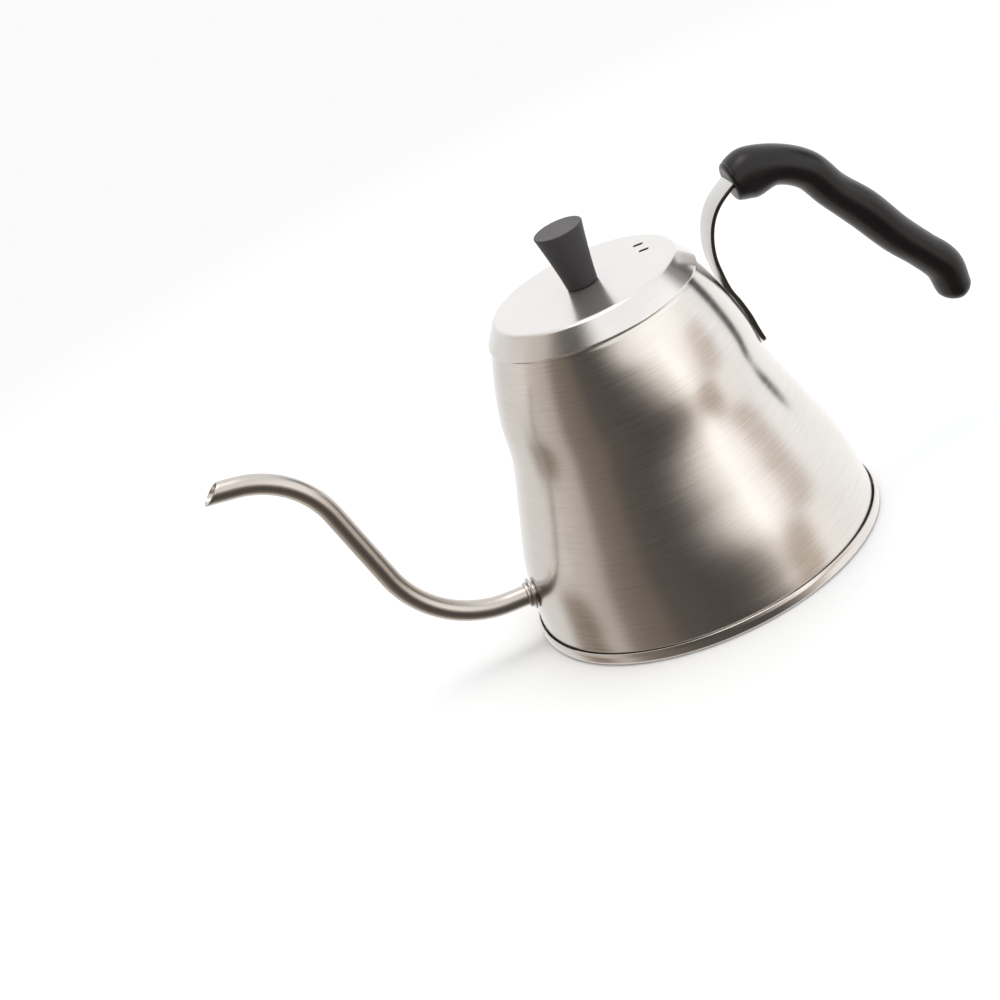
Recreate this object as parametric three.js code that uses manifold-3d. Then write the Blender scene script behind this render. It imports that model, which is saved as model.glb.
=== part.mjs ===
// Gooseneck pour-over kettle: bell-shaped steel body, bent tube spout, strap handle, lift-off lid.
// Millimetres, +Z up. The origin is the centre of the underside, the spout points to -X and the
// handle to +X, and the plane Y = 0 cuts the kettle into mirrored halves.
import * as THREE from 'three';
import { mergeVertices } from 'three/addons/utils/BufferGeometryUtils.js';
import Module from 'manifold-3d';

const wasm = await Module();
wasm.setup();

// ---------------------------------------------------------------- driving dimensions

// Clearances
const gap = 0.3; // between pieces that rest on, or are joined to, each other
const lidFit = 0.5; // radial play of the lid's plug in the mouth

// Base: rim band, floor pan, aluminium spreader and its steel cover
const bandRadius = 75;
const bandHeight = 5.2;
const bandWall = 0.9;
const bandLift = 0.4; // the band clears the table by this much
const bandFlange = 4.5; // turned in under the floor pan
const panWall = 0.8;
const panStepInset = 2; // from the flange's edge in to the floor pan's step
const panStepLean = 0.55; // run of the step for each unit of its height
const spreaderThickness = 2.9;
const coverInset = 0.8; // from the step in to the cover
const coverWall = 0.6;

// Body shell
const bodyTop = 121.8;
const shellWall = 0.8;
const mouthRadius = 43.7;
// The bell's form: share of the shell's height, and share of the flare from the mouth out to the foot
const bellForm = [
  [0, 1], [0.07, 0.97], [0.23, 0.873], [0.4, 0.657], [0.6, 0.407], [0.75, 0.32], [0.885, 0.173], [1, 0],
];

// Mouth ring, pressed inside the top of the shell
const mouthRingWall = 0.8;
const mouthRingDepth = 9;
const mouthLedge = 3.4; // width of the ledge that the lid rests on

// Lid
const lidOverhang = 0.9; // the skirt stands out past the shell
const lidWall = 0.8;
const lidHeight = 9.4; // skirt's lower edge to the flat top
const lidEdgeHeight = 0.8; // upright hem at the bottom of the skirt
const lidSlope = 4.5; // run of the sloping skirt, seen from above
const lidShoulder = 2.8; // rounding between the flat top and the sloping skirt
const plugDepth = 9.6;
const plugWall = 0.7;
const ventLength = 4.4;
const ventWidth = 1.5;
const ventPitch = 8.5; // along Y, so the two slots are staggered
const ventInset = 8.7; // from the edge of the flat top in to the slots
const ventBearing = 12.7; // degrees from +X
const ventTurn = -20; // degrees, direction of the slots

// Knob and its fixing
const knobTopRadius = 10.3;
const knobBaseRadius = 6.5;
const knobHeight = 24.6;
const knobEdge = 0.5;
const screwRadius = 2;
const knobScrewHeadRadius = 3.6;
const knobScrewHeadHeight = 2.4;
const knobWasherRadius = 6;
const lockWasherRadius = 3.9;
const washerThickness = 0.8;
const insertWall = 1.3;
const insertLength = 10;

// Spout: two straights and two bends
const spoutRadius = 4.25;
const spoutWall = 0.6;
const spoutRootHeight = 22.6;
const spoutInside = 1.6; // how far the tube stands inside the shell
const spoutRootRise = 6; // degrees above level
const spoutLegRise = 77;
const spoutTipRise = 13;
const spoutRootLength = 10.4; // from the shell to the first bend
const lowerBendRadius = 45;
const spoutOutletRise = 3; // centre of the outlet above the shell's top, which sets the upright straight
const upperBendRadius = 39;
const spoutTipLength = 9.6;
const spoutCutAngle = 38; // degrees between the outlet and level
const flangeWidth = 2.05;
const flangeThickness = 0.9;
const collarWall = 0.75;
const collarLength = 1.5;

// Handle strap: welded up the back of the shell, then curling out to the grip
const strapWidth = 14.5;
const strapThickness = 1.6;
const strapFootDrop = 45.8; // its lower end, below the shell's top
const strapLeaveDrop = 18.8; // where it leaves the shell, below the shell's top
const strapLidGap = 5.6; // between the strap and the lid's skirt
const tangLength = 26; // hidden in the grip

// Grip
const gripFront = 68; // distance of its front end from the kettle's axis
const gripRise = 19.7; // height of its front end's centre above the shell
const gripHalfWidth = 10.2;
const gripScrewPlace = 10.5; // behind the front end
const gripScrewHeadRadius = 3.4;
const gripScrewHeadHeight = 2.2;
const gripScrewRecess = 2;

// Facets
const roundSteps = 48;
const smallSteps = 20;

// ---------------------------------------------------------------- materials

const finish = (color, roughness, metalness) => new THREE.MeshStandardMaterial({ color, roughness, metalness });
const brushedSteel = () => finish(0xc9c6c2, 0.34, 1);
const satinSteel = () => finish(0xd9d8d6, 0.42, 1);
const springSteel = () => finish(0xbfc1c4, 0.3, 1);
const aluminium = () => finish(0xaeb2b6, 0.5, 1);
const brass = () => finish(0xb8964e, 0.38, 1);
const blackMoulding = () => finish(0x1d1b1b, 0.46, 0);
const knobMoulding = () => finish(0x343335, 0.5, 0);

// ---------------------------------------------------------------- geometry helpers

const radians = THREE.MathUtils.degToRad;

// Merge shared vertices, drop collapsed triangles and turn the faces outwards.
function closed(geometry) {
  const bare = geometry.clone();
  bare.deleteAttribute('normal');
  bare.deleteAttribute('uv');
  const merged = mergeVertices(bare, 1e-4);
  const at = merged.attributes.position;
  const old = merged.index.array;
  const corners = [0, 1, 2].map(() => new THREE.Vector3());
  let index = [];
  let volume = 0;
  for (let i = 0; i < old.length; i += 3) {
    const [a, b, c] = [old[i], old[i + 1], old[i + 2]];
    if (a === b || b === c || c === a) continue;
    index.push(a, b, c);
    [a, b, c].forEach((v, k) => corners[k].fromBufferAttribute(at, v));
    volume += corners[0].dot(corners[1].cross(corners[2]));
  }
  if (volume < 0) index = index.reverse();
  merged.setIndex(index);
  return merged;
}

function toManifold(geometry) {
  const shape = closed(geometry);
  return new wasm.Manifold(new wasm.Mesh({
    numProp: 3,
    vertProperties: new Float32Array(shape.attributes.position.array),
    triVerts: new Uint32Array(shape.index.array),
  }));
}

function fromManifold(solid) {
  const { vertProperties, triVerts } = solid.getMesh();
  const geometry = new THREE.BufferGeometry();
  geometry.setAttribute('position', new THREE.BufferAttribute(new Float32Array(vertProperties), 3));
  geometry.setIndex(new THREE.BufferAttribute(new Uint32Array(triVerts), 1));
  return geometry;
}

// The first geometry with the others cut away from it.
function cut(geometry, ...tools) {
  return fromManifold(tools.reduce((rest, tool) => rest.subtract(toManifold(tool)), toManifold(geometry)));
}

// A profile of [radius, height] points turned about the Z axis.
function turned(profile, steps = roundSteps) {
  const points = profile.map(([r, z]) => new THREE.Vector2(r, z));
  return new THREE.LatheGeometry(points, steps).rotateX(Math.PI / 2);
}

const ringProfile = (inner, outer, low, high) => [
  [inner, low], [outer, low], [outer, high], [inner, high], [inner, low],
];
const discProfile = (radius, low, high) => [[0, low], [radius, low], [radius, high], [0, high]];

// Points of an arc in the profile plane, angles in degrees from +r towards +z.
function arcPoints(r, z, radius, from, to, steps) {
  return Array.from({ length: steps + 1 }, (_, i) => {
    const angle = radians(from + ((to - from) * i) / steps);
    return [r + radius * Math.cos(angle), z + radius * Math.sin(angle)];
  });
}

// A flat shape swept along a curve in the XZ plane; the shape's x is across the plane.
function swept(shape, path, steps, curveSegments = 8) {
  return new THREE.ExtrudeGeometry(shape, { steps, extrudePath: path, bevelEnabled: false, curveSegments });
}

function slabShape(width, thickness) {
  const shape = new THREE.Shape();
  shape.moveTo(-width / 2, -thickness / 2);
  shape.lineTo(width / 2, -thickness / 2);
  shape.lineTo(width / 2, thickness / 2);
  shape.lineTo(-width / 2, thickness / 2);
  return shape;
}

// Rings of points joined into one closed skin.
function lofted(rings) {
  const count = rings[0].length;
  const middle = (ring) => ring.reduce((sum, p) => sum.add(p), new THREE.Vector3()).divideScalar(count);
  const points = [...rings.flat(), middle(rings[0]), middle(rings.at(-1))];
  const [head, tail] = [points.length - 2, points.length - 1];
  const last = (rings.length - 1) * count;
  const index = [];
  for (let k = 0; k < count; k += 1) {
    const n = (k + 1) % count;
    for (let i = 0; i < last; i += count) {
      index.push(i + k, i + n, i + count + k, i + n, i + count + n, i + count + k);
    }
    index.push(head, n, k, tail, last + k, last + n);
  }
  const geometry = new THREE.BufferGeometry().setFromPoints(points);
  geometry.setIndex(index);
  return geometry;
}

const kettle = new THREE.Group();

function add(name, geometry, material) {
  const mesh = new THREE.Mesh(closed(geometry), material);
  mesh.name = name;
  kettle.add(mesh);
  return mesh;
}

// ---------------------------------------------------------------- base levels and body outline

const panFloor = coverWall + gap + spreaderThickness + gap; // underside of the floor
const seamLevel = bandLift + bandWall + gap; // underside of the pan's rim
const shellFoot = seamLevel + panWall + gap; // lower edge of the shell
const shellHeight = bodyTop - shellFoot;
const footRadius = bandRadius - bandWall - gap - 0.1;
const panStepRadius = bandRadius - bandWall - bandFlange - panStepInset;
const coverRadius = panStepRadius - coverInset;

const bellCurve = new THREE.SplineCurve(bellForm.map(([height, flare]) => new THREE.Vector2(
  mouthRadius + flare * (footRadius - mouthRadius),
  shellFoot + height * shellHeight,
)));
const bellSamples = bellCurve.getPoints(400);

// Outer radius of the shell at a height.
function bodyRadius(height) {
  const above = bellSamples.findIndex((p) => p.y >= height);
  if (above < 1) return above === 0 ? bellSamples[0].x : bellSamples.at(-1).x;
  const [low, high] = [bellSamples[above - 1], bellSamples[above]];
  return THREE.MathUtils.mapLinear(height, low.y, high.y, low.x, high.x);
}

// ---------------------------------------------------------------- spout path

// Height gained in a bend between two rises, in degrees.
const bendHeight = (radius, from, to) => radius * Math.abs(Math.cos(radians(from)) - Math.cos(radians(to)));

// The upright straight is as long as the outlet's height asks for.
function spoutLegLength() {
  const below = spoutRootHeight + spoutRootLength * Math.sin(radians(spoutRootRise))
    + bendHeight(lowerBendRadius, spoutRootRise, spoutLegRise);
  const above = bendHeight(upperBendRadius, spoutLegRise, spoutTipRise)
    + spoutTipLength * Math.sin(radians(spoutTipRise));
  return (bodyTop + spoutOutletRise - below - above) / Math.sin(radians(spoutLegRise));
}

// Straight, bend, straight, bend, straight, all in the plane Y = 0.
function spoutPath() {
  const path = new THREE.CurvePath();
  const place = new THREE.Vector3(-bodyRadius(spoutRootHeight), 0, spoutRootHeight);
  const heading = (degrees) => new THREE.Vector3(-Math.cos(radians(degrees)), 0, Math.sin(radians(degrees)));
  const straight = (length, rise) => {
    const end = place.clone().addScaledVector(heading(rise), length);
    path.add(new THREE.LineCurve3(place.clone(), end));
    place.copy(end);
  };
  const bend = (radius, from, to) => {
    const pieces = 4;
    const arm = radius * Math.tan(radians(Math.abs(to - from)) / pieces / 2);
    for (let i = 0; i < pieces; i += 1) {
      const [a, b] = [from + ((to - from) * i) / pieces, from + ((to - from) * (i + 1)) / pieces];
      const corner = place.clone().addScaledVector(heading(a), arm);
      const end = corner.clone().addScaledVector(heading(b), arm);
      path.add(new THREE.QuadraticBezierCurve3(place.clone(), corner, end));
      place.copy(end);
    }
  };
  place.addScaledVector(heading(spoutRootRise), -spoutInside);
  straight(spoutRootLength + spoutInside, spoutRootRise);
  bend(lowerBendRadius, spoutRootRise, spoutLegRise);
  straight(spoutLegLength(), spoutLegRise);
  bend(upperBendRadius, spoutLegRise, spoutTipRise);
  straight(spoutTipLength + 2 * spoutRadius, spoutTipRise);
  return path;
}

// A ring, disc or rod turned about Z, laid along the spout's root with z = 0 on the shell.
function onSpoutRoot(geometry) {
  return geometry
    .rotateY(radians(spoutRootRise - 90))
    .translate(-bodyRadius(spoutRootHeight), 0, spoutRootHeight);
}

// ---------------------------------------------------------------- base

function baseRing() {
  const edge = 0.5;
  const inner = bandRadius - bandWall;
  add('base_ring', turned([
    [inner - bandFlange, bandLift], [bandRadius - edge, bandLift], [bandRadius, bandLift + edge],
    [bandRadius, bandHeight - edge], [bandRadius - edge, bandHeight], [inner, bandHeight],
    [inner, bandLift + bandWall], [inner - bandFlange, bandLift + bandWall], [inner - bandFlange, bandLift],
  ]), brushedSteel());
}

function basePan() {
  const step = panFloor - seamLevel;
  const stepFoot = panStepRadius + step * panStepLean;
  const skew = 0.45;
  add('base_pan', turned([
    [0, panFloor], [panStepRadius, panFloor], [stepFoot, seamLevel], [footRadius, seamLevel],
    [footRadius, seamLevel + panWall], [stepFoot + skew, seamLevel + panWall],
    [panStepRadius + skew, panFloor + panWall], [0, panFloor + panWall],
  ]), satinSteel());
}

function heatSpreader() {
  const radius = coverRadius - coverWall - 2 * gap;
  const low = coverWall + gap;
  add('heat_spreader', turned(discProfile(radius, low, low + spreaderThickness)), aluminium());
}

function baseCover() {
  const edge = 0.4;
  const rim = coverWall + gap + spreaderThickness - gap;
  add('base_cover', turned([
    [0, 0], [coverRadius - edge, 0], [coverRadius, edge], [coverRadius, rim],
    [coverRadius - coverWall, rim], [coverRadius - coverWall, coverWall], [0, coverWall],
  ]), satinSteel());
}

// ---------------------------------------------------------------- body and mouth

const mouthBore = mouthRadius - shellWall - gap - mouthLedge;

function bodyShell() {
  const outer = bellCurve.getPoints(14).map((p) => [p.x, p.y]);
  const inner = outer.map(([r, z]) => [r - shellWall, z]).reverse();
  const spoutHole = onSpoutRoot(turned(discProfile(spoutRadius + gap, -6, 6), smallSteps));
  add('body_shell', cut(turned([...outer, ...inner, outer[0]]), spoutHole), brushedSteel());
}

function mouthRing() {
  const outer = mouthRadius - shellWall - gap;
  const top = bodyTop - 0.1;
  const low = top - mouthRingDepth;
  const wall = mouthBore + mouthRingWall;
  add('mouth_ring', turned([
    [mouthBore, low], [wall, low], [wall, top - mouthRingWall], [outer, top - mouthRingWall],
    [outer, top], [mouthBore, top], [mouthBore, low],
  ]), satinSteel());
}

// ---------------------------------------------------------------- spout

const spoutLine = spoutPath();

function spoutTube() {
  const ringShape = new THREE.Shape().absarc(0, 0, spoutRadius, 0, 2 * Math.PI);
  ringShape.holes.push(new THREE.Path().absarc(0, 0, spoutRadius - spoutWall, 0, 2 * Math.PI, true));
  const tube = swept(ringShape, spoutLine, 44, 7);
  const end = spoutLine.getPoint(1).addScaledVector(spoutLine.getTangent(1), -2 * spoutRadius);
  const blade = new THREE.BoxGeometry(40, 40, 40)
    .translate(-20, 0, 0)
    .rotateY(radians(90 - spoutCutAngle))
    .translate(end.x, 0, end.z);
  add('spout_tube', cut(tube, blade), satinSteel());
}

function spoutCollars() {
  const bore = spoutRadius + gap;
  const flangeRadius = bore + flangeWidth;
  const collarRadius = bore + collarWall;
  const bulge = flangeRadius ** 2 / (2 * bodyRadius(spoutRootHeight)); // the shell's curve under the flange
  const flangeLow = gap + bulge;
  const flangeTop = flangeLow + flangeThickness;
  const collarLow = flangeTop + gap;
  const edge = 0.35;
  add('spout_flange', onSpoutRoot(turned([
    [bore, flangeLow], [flangeRadius, flangeLow], [flangeRadius, flangeTop - edge],
    [flangeRadius - edge, flangeTop], [bore, flangeTop], [bore, flangeLow],
  ], smallSteps)), satinSteel());
  add('spout_collar', onSpoutRoot(turned([
    [bore, collarLow], [collarRadius, collarLow], [collarRadius, collarLow + collarLength - edge],
    [collarRadius - edge, collarLow + collarLength], [bore, collarLow + collarLength], [bore, collarLow],
  ], smallSteps)), satinSteel());
}

// ---------------------------------------------------------------- handle

const gripStart = new THREE.Vector3(gripFront, 0, bodyTop + gripRise);
const fromGripStart = ([x, z]) => new THREE.Vector3(x, 0, z).add(gripStart);
const skirtRadius = mouthRadius + lidOverhang;

// Centre line of the strap: up the shell, past the lid, out into the grip.
function strapPath() {
  const offset = gap + strapThickness / 2;
  const strapLeave = bodyTop - strapLeaveDrop;
  const onShell = [0, 0.25, 0.5, 0.75, 1].map((share) => {
    const z = THREE.MathUtils.lerp(bodyTop - strapFootDrop, strapLeave, share);
    return new THREE.Vector3(bodyRadius(z) + offset, 0, z);
  });
  const free = skirtRadius + strapLidGap + strapThickness / 2;
  const rise = gripStart.z - strapLeave;
  const pastLid = [
    new THREE.Vector3(free, 0, strapLeave + 0.2 * rise),
    new THREE.Vector3(free + 0.15, 0, strapLeave + 0.38 * rise),
  ];
  const reach = gripFront - free;
  const curl = [
    new THREE.Vector3(free + 0.12 * reach, 0, gripStart.z - 16.2),
    new THREE.Vector3(free + 0.31 * reach, 0, gripStart.z - 9.9),
    new THREE.Vector3(free + 0.56 * reach, 0, gripStart.z - 5.3),
  ];
  const tang = [[-1.2, -1.5], [5, 0.9], [12, 1.2], [19.5, -1.1], [tangLength, -5.4]].map(fromGripStart);
  return new THREE.CatmullRomCurve3([...onShell, ...pastLid, ...curl, ...tang]);
}

const strapLine = strapPath();
const gripScrewAt = gripStart.x + gripScrewPlace;
const strapSteps = 36;

function handleStrap() {
  const strip = swept(slabShape(strapWidth, strapThickness), strapLine, strapSteps);
  const hole = turned(discProfile(screwRadius + gap, -8, 8), smallSteps);
  hole.translate(gripScrewAt, 0, gripStart.z);
  add('handle_strap', cut(strip, hole), springSteel());
}

// Centre line of the grip from its front end, with half its height at each point.
const gripOutline = [
  { at: [2, -0.9], half: 8.2 }, { at: [9.8, -0.7], half: 10.4 }, { at: [20.5, -2.6], half: 8.2 },
  { at: [31.4, -10.4], half: 7.8 }, { at: [38.2, -23], half: 7.6 }, { at: [46.9, -36.4], half: 8.2 },
  { at: [55.2, -52], half: 7.9 }, { at: [62.8, -63.6], half: 7.5 }, { at: [68.8, -73.8], half: 7.8 },
  { at: [69.6, -83], half: 7.1 },
];
const gripEnds = { front: 1, rear: 5.6 }; // rounding beyond the outline's first and last points

function gripSkin() {
  const line = new THREE.CatmullRomCurve3(gripOutline.map(({ at }) => fromGripStart(at)));
  const halves = new THREE.SplineCurve(gripOutline.map(({ half }, i) => new THREE.Vector2(i, half)));
  const across = new THREE.Vector3(0, 1, 0);
  const sides = 16;
  const ring = (t, stretch, shrink) => {
    const tangent = line.getTangent(t);
    const centre = line.getPoint(t).addScaledVector(tangent, stretch);
    const up = new THREE.Vector3().crossVectors(tangent, across);
    const half = halves.getPoint(t).y - shrink;
    const wide = gripHalfWidth - shrink;
    return Array.from({ length: sides }, (_, k) => {
      const angle = (2 * Math.PI * k) / sides;
      return centre.clone()
        .addScaledVector(across, wide * Math.cos(angle))
        .addScaledVector(up, half * Math.sin(angle));
    });
  };
  const rings = [ring(0, -gripEnds.front, 1.6), ring(0, -0.6 * gripEnds.front, 0.6)];
  const steps = 26;
  for (let i = 0; i <= steps; i += 1) rings.push(ring(i / steps, 0, 0));
  for (const angle of [30, 55, 75]) {
    const shrink = (gripOutline.at(-1).half - 1) * (1 - Math.cos(radians(angle)));
    rings.push(ring(1, gripEnds.rear * Math.sin(radians(angle)), shrink));
  }
  return lofted(rings);
}

// The upright line through the grip's fixing screw: heights of what lies on it.
const tangHeight = (() => {
  const points = strapLine.getPoints(400).filter((p) => p.z > gripStart.z - 20);
  return points.reduce((best, p) => (Math.abs(p.x - gripScrewAt) < Math.abs(best.x - gripScrewAt) ? p : best)).z;
})();
const gripUnderside = gripStart.z + gripOutline[1].at[1] - gripOutline[1].half;
const gripScrewHead = gripUnderside + gripScrewRecess; // lower face of the screw's head
const gripSeat = gripScrewHead + gripScrewHeadHeight + gap; // underside of the washer
const gripInsertLow = tangHeight + strapThickness / 2 + 2 * gap;
const gripInsertLength = 4.2;
const gripInsertRadius = screwRadius + gap + insertWall;

function grip() {
  const pocketShape = slabShape(strapWidth + 2 * gap, strapThickness + 2 * gap);
  const ahead = strapLine.getPoint(1).addScaledVector(strapLine.getTangent(1), gap);
  const nodes = strapLine.points.slice(-8);
  const pocket = swept(pocketShape, new THREE.CatmullRomCurve3([...nodes, ahead]), 30);
  const rod = (radius, low, high) => turned(discProfile(radius, low, high), smallSteps).translate(gripScrewAt, 0, 0);
  add('grip', cut(
    gripSkin(),
    pocket,
    rod(gripScrewHeadRadius + 0.6, gripUnderside - 3, gripSeat + washerThickness + gap),
    rod(screwRadius + gap, gripSeat, tangHeight),
    rod(gripInsertRadius + gap, tangHeight, gripInsertLow + gripInsertLength + gap),
  ), blackMoulding());
}

function gripFixings() {
  const at = (geometry) => geometry.translate(gripScrewAt, 0, 0);
  const headTop = gripScrewHead + gripScrewHeadHeight;
  const screw = turned([
    [0, gripScrewHead], [gripScrewHeadRadius - 0.6, gripScrewHead], [gripScrewHeadRadius, gripScrewHead + 0.8],
    [gripScrewHeadRadius, headTop], [screwRadius, headTop],
    [screwRadius, gripInsertLow + gripInsertLength - 1], [0, gripInsertLow + gripInsertLength - 1],
  ], smallSteps);
  add('grip_screw', cut(at(screw), ...crossRecess(gripScrewAt, gripScrewHead)), springSteel());
  add('grip_washer', at(turned(
    ringProfile(screwRadius + gap, gripScrewHeadRadius + 0.2, gripSeat, gripSeat + washerThickness), smallSteps,
  )), springSteel());
  add('grip_insert', at(turned(
    ringProfile(screwRadius + gap, gripInsertRadius, gripInsertLow, gripInsertLow + gripInsertLength), smallSteps,
  )), brass());
}

// Two crossed slots in the lower face of a screw head.
function crossRecess(x, low) {
  const slot = () => new THREE.BoxGeometry(4, 0.9, 2.4);
  return [slot().translate(x, 0, low), slot().rotateZ(Math.PI / 2).translate(x, 0, low)];
}

// ---------------------------------------------------------------- lid

const lidEdge = bodyTop + gap; // lower edge of the skirt
const lidTop = lidEdge + lidHeight;
const lidTopRadius = skirtRadius - lidSlope - lidShoulder; // flat part

function ventSlot(side) {
  const half = (ventLength - ventWidth) / 2;
  const shape = new THREE.Shape();
  shape.absarc(half, 0, ventWidth / 2, -Math.PI / 2, Math.PI / 2);
  shape.absarc(-half, 0, ventWidth / 2, Math.PI / 2, 1.5 * Math.PI);
  const bearing = radians(ventBearing);
  const ventRadius = lidTopRadius - ventInset;
  return new THREE.ExtrudeGeometry(shape, { depth: 6, bevelEnabled: false, curveSegments: 6 })
    .rotateZ(radians(ventTurn))
    .translate(0, (side * ventPitch) / 2, 0)
    .translate(ventRadius * Math.cos(bearing), ventRadius * Math.sin(bearing), lidTop - 4);
}

function lidCap() {
  const hemTop = lidEdge + lidEdgeHeight;
  const slope = Math.atan2(lidTop - lidShoulder - hemTop, skirtRadius - lidTopRadius - lidShoulder);
  const lean = 90 - THREE.MathUtils.radToDeg(slope);
  const centre = [lidTopRadius, lidTop - lidShoulder];
  const outer = [
    [skirtRadius, lidEdge], [skirtRadius, hemTop],
    ...arcPoints(...centre, lidShoulder, lean, 90, 3), [0, lidTop],
  ];
  const inner = [
    [0, lidTop - lidWall],
    ...arcPoints(...centre, lidShoulder - lidWall, 90, lean, 3),
    [skirtRadius - lidWall, hemTop - 0.3], [skirtRadius - lidWall, lidEdge],
  ];
  const bore = turned(discProfile(screwRadius + gap, lidTop - 4, lidTop + 2), smallSteps);
  const cap = turned([...outer, ...inner, outer[0]]);
  add('lid_cap', cut(cap, bore, ventSlot(1), ventSlot(-1)), satinSteel());
}

function lidPlug() {
  const outer = mouthBore - lidFit;
  const inner = outer - plugWall;
  const rim = skirtRadius - lidWall - 0.4;
  const top = lidEdge + plugWall;
  add('lid_plug', turned([
    [inner, top - plugDepth], [outer, top - plugDepth], [outer, lidEdge], [rim, lidEdge],
    [rim, top], [inner, top], [inner, top - plugDepth],
  ]), satinSteel());
}

function lidKnob() {
  const low = lidTop + gap;
  const top = low + knobHeight;
  const pocketRadius = screwRadius + 2 * gap + insertWall;
  const knob = turned([
    [0, low], [knobBaseRadius - 0.4, low], [knobBaseRadius, low + 0.4],
    ...[0.3, 0.65].map((s) => [
      knobBaseRadius + (knobTopRadius - knobBaseRadius) * s ** 1.25, low + s * knobHeight,
    ]),
    [knobTopRadius, top - knobEdge], [knobTopRadius - knobEdge, top], [0, top],
  ], 32);
  const pocket = turned(discProfile(pocketRadius, low - 1, low + insertLength + 3 * gap), smallSteps);
  add('lid_knob', cut(knob, pocket), knobMoulding());
  add('knob_insert', turned(
    ringProfile(screwRadius + gap, pocketRadius - gap, low + gap, low + gap + insertLength), smallSteps,
  ), brass());
}

// Washers and screw under the lid, stacked downwards from the cap.
function knobFixings() {
  const washerTop = lidTop - lidWall - gap;
  const lockTop = washerTop - washerThickness - gap;
  const headTop = lockTop - washerThickness - gap;
  const headLow = headTop - knobScrewHeadHeight;
  const bore = screwRadius + gap;
  const plate = (radius, top) => turned(ringProfile(bore, radius, top - washerThickness, top), smallSteps);
  add('knob_washer', plate(knobWasherRadius, washerTop), satinSteel());
  const split = new THREE.BoxGeometry(4, 0.7, 4).translate(bore + 1.4, 0, lockTop);
  add('knob_lock_washer', cut(plate(lockWasherRadius, lockTop), split), springSteel());
  const end = lidTop + insertLength + 3 * gap;
  const screw = turned([
    [0, headLow], [knobScrewHeadRadius - 0.7, headLow], [knobScrewHeadRadius, headLow + 0.9],
    [knobScrewHeadRadius, headTop], [screwRadius, headTop], [screwRadius, end - 0.5],
    [screwRadius - 0.5, end], [0, end],
  ], smallSteps);
  add('knob_screw', cut(screw, ...crossRecess(0, headLow)), springSteel());
}

// ---------------------------------------------------------------- assembly

baseRing();
basePan();
heatSpreader();
baseCover();
bodyShell();
mouthRing();
spoutTube();
spoutCollars();
handleStrap();
grip();
gripFixings();
lidCap();
lidPlug();
lidKnob();
knobFixings();

export default kettle;
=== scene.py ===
"""Gooseneck kettle: fine surfaces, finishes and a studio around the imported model. Metres, +Z up."""
import math

import bmesh
import bpy
from mathutils import Matrix, Vector


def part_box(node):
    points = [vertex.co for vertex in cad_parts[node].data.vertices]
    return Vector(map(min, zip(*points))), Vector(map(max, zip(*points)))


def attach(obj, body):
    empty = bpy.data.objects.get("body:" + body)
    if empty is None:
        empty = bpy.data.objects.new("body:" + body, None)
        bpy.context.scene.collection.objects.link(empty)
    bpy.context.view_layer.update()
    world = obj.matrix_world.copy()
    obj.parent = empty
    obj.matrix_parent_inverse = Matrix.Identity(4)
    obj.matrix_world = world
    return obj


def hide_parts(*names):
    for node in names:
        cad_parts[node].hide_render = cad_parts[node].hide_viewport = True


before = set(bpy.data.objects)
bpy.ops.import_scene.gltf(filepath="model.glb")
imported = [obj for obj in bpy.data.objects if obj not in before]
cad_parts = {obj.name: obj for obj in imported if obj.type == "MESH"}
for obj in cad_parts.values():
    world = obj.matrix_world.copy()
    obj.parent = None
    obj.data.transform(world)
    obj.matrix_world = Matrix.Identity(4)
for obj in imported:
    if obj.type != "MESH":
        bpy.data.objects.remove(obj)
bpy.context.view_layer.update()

bl_info = {
    "name": "Gooseneck kettle",
    "version": (1, 0, 0),
    "blender": (4, 5, 0),
    "location": "3D View > Sidebar > Kettle",
    "description": "Builds the fine surfaces and finishes of a stovetop gooseneck kettle",
    "category": "Object",
}

MM = 0.001
GAP = 0.3 * MM  # between pieces that rest on, or are joined to, each other
MERGE = 0.002 * MM  # a skin's corners closer than this become one
SCREW_RADIUS = 2 * MM
SCREW_HOLE = SCREW_RADIUS + GAP
SHARP = math.radians(33)  # edges that turn further than this are shaded sharp
ACROSS = Vector((0, 1, 0))
NOTHING = Vector((0, 0, 0))


# ---------------------------------------------------------------- sizes taken from the frame

def node_low(node):
    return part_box(node)[0]


def node_high(node):
    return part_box(node)[1]


def radius_at(node, height, slack=0.05 * MM):
    """Largest distance from the kettle's axis of a CAD node's corners at a height."""
    corners = [v.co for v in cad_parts[node].data.vertices if abs(v.co.z - height) < slack]
    return max(math.hypot(c.x, c.y) for c in corners)


SHELL_FOOT = node_low("body_shell").z
SHELL_TOP = node_high("body_shell").z
FOOT_RADIUS = node_high("body_shell").y
MOUTH_RADIUS = radius_at("body_shell", SHELL_TOP)
SKIRT_RADIUS = node_high("lid_cap").y
LID_EDGE = node_low("lid_cap").z
LID_TOP = node_high("lid_cap").z


# ---------------------------------------------------------------- settings

def length(name, value, description):
    """A length property whose default is given in millimetres."""
    return bpy.props.FloatProperty(
        name=name, description=description, default=value * MM, min=0, precision=5,
        subtype="DISTANCE", unit="LENGTH",
    )


def angle(name, degrees, description):
    return bpy.props.FloatProperty(
        name=name, description=description, default=math.radians(degrees), subtype="ANGLE", unit="ROTATION",
    )


def share(name, value, description):
    return bpy.props.FloatProperty(
        name=name, description=description, default=value, min=0, max=1, subtype="FACTOR",
    )


def count(name, value, description):
    return bpy.props.IntProperty(name=name, description=description, default=value, min=3)


def colour(name, value, description):
    return bpy.props.FloatVectorProperty(
        name=name, description=description, default=value, size=3, min=0, max=1, subtype="COLOR",
    )


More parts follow.
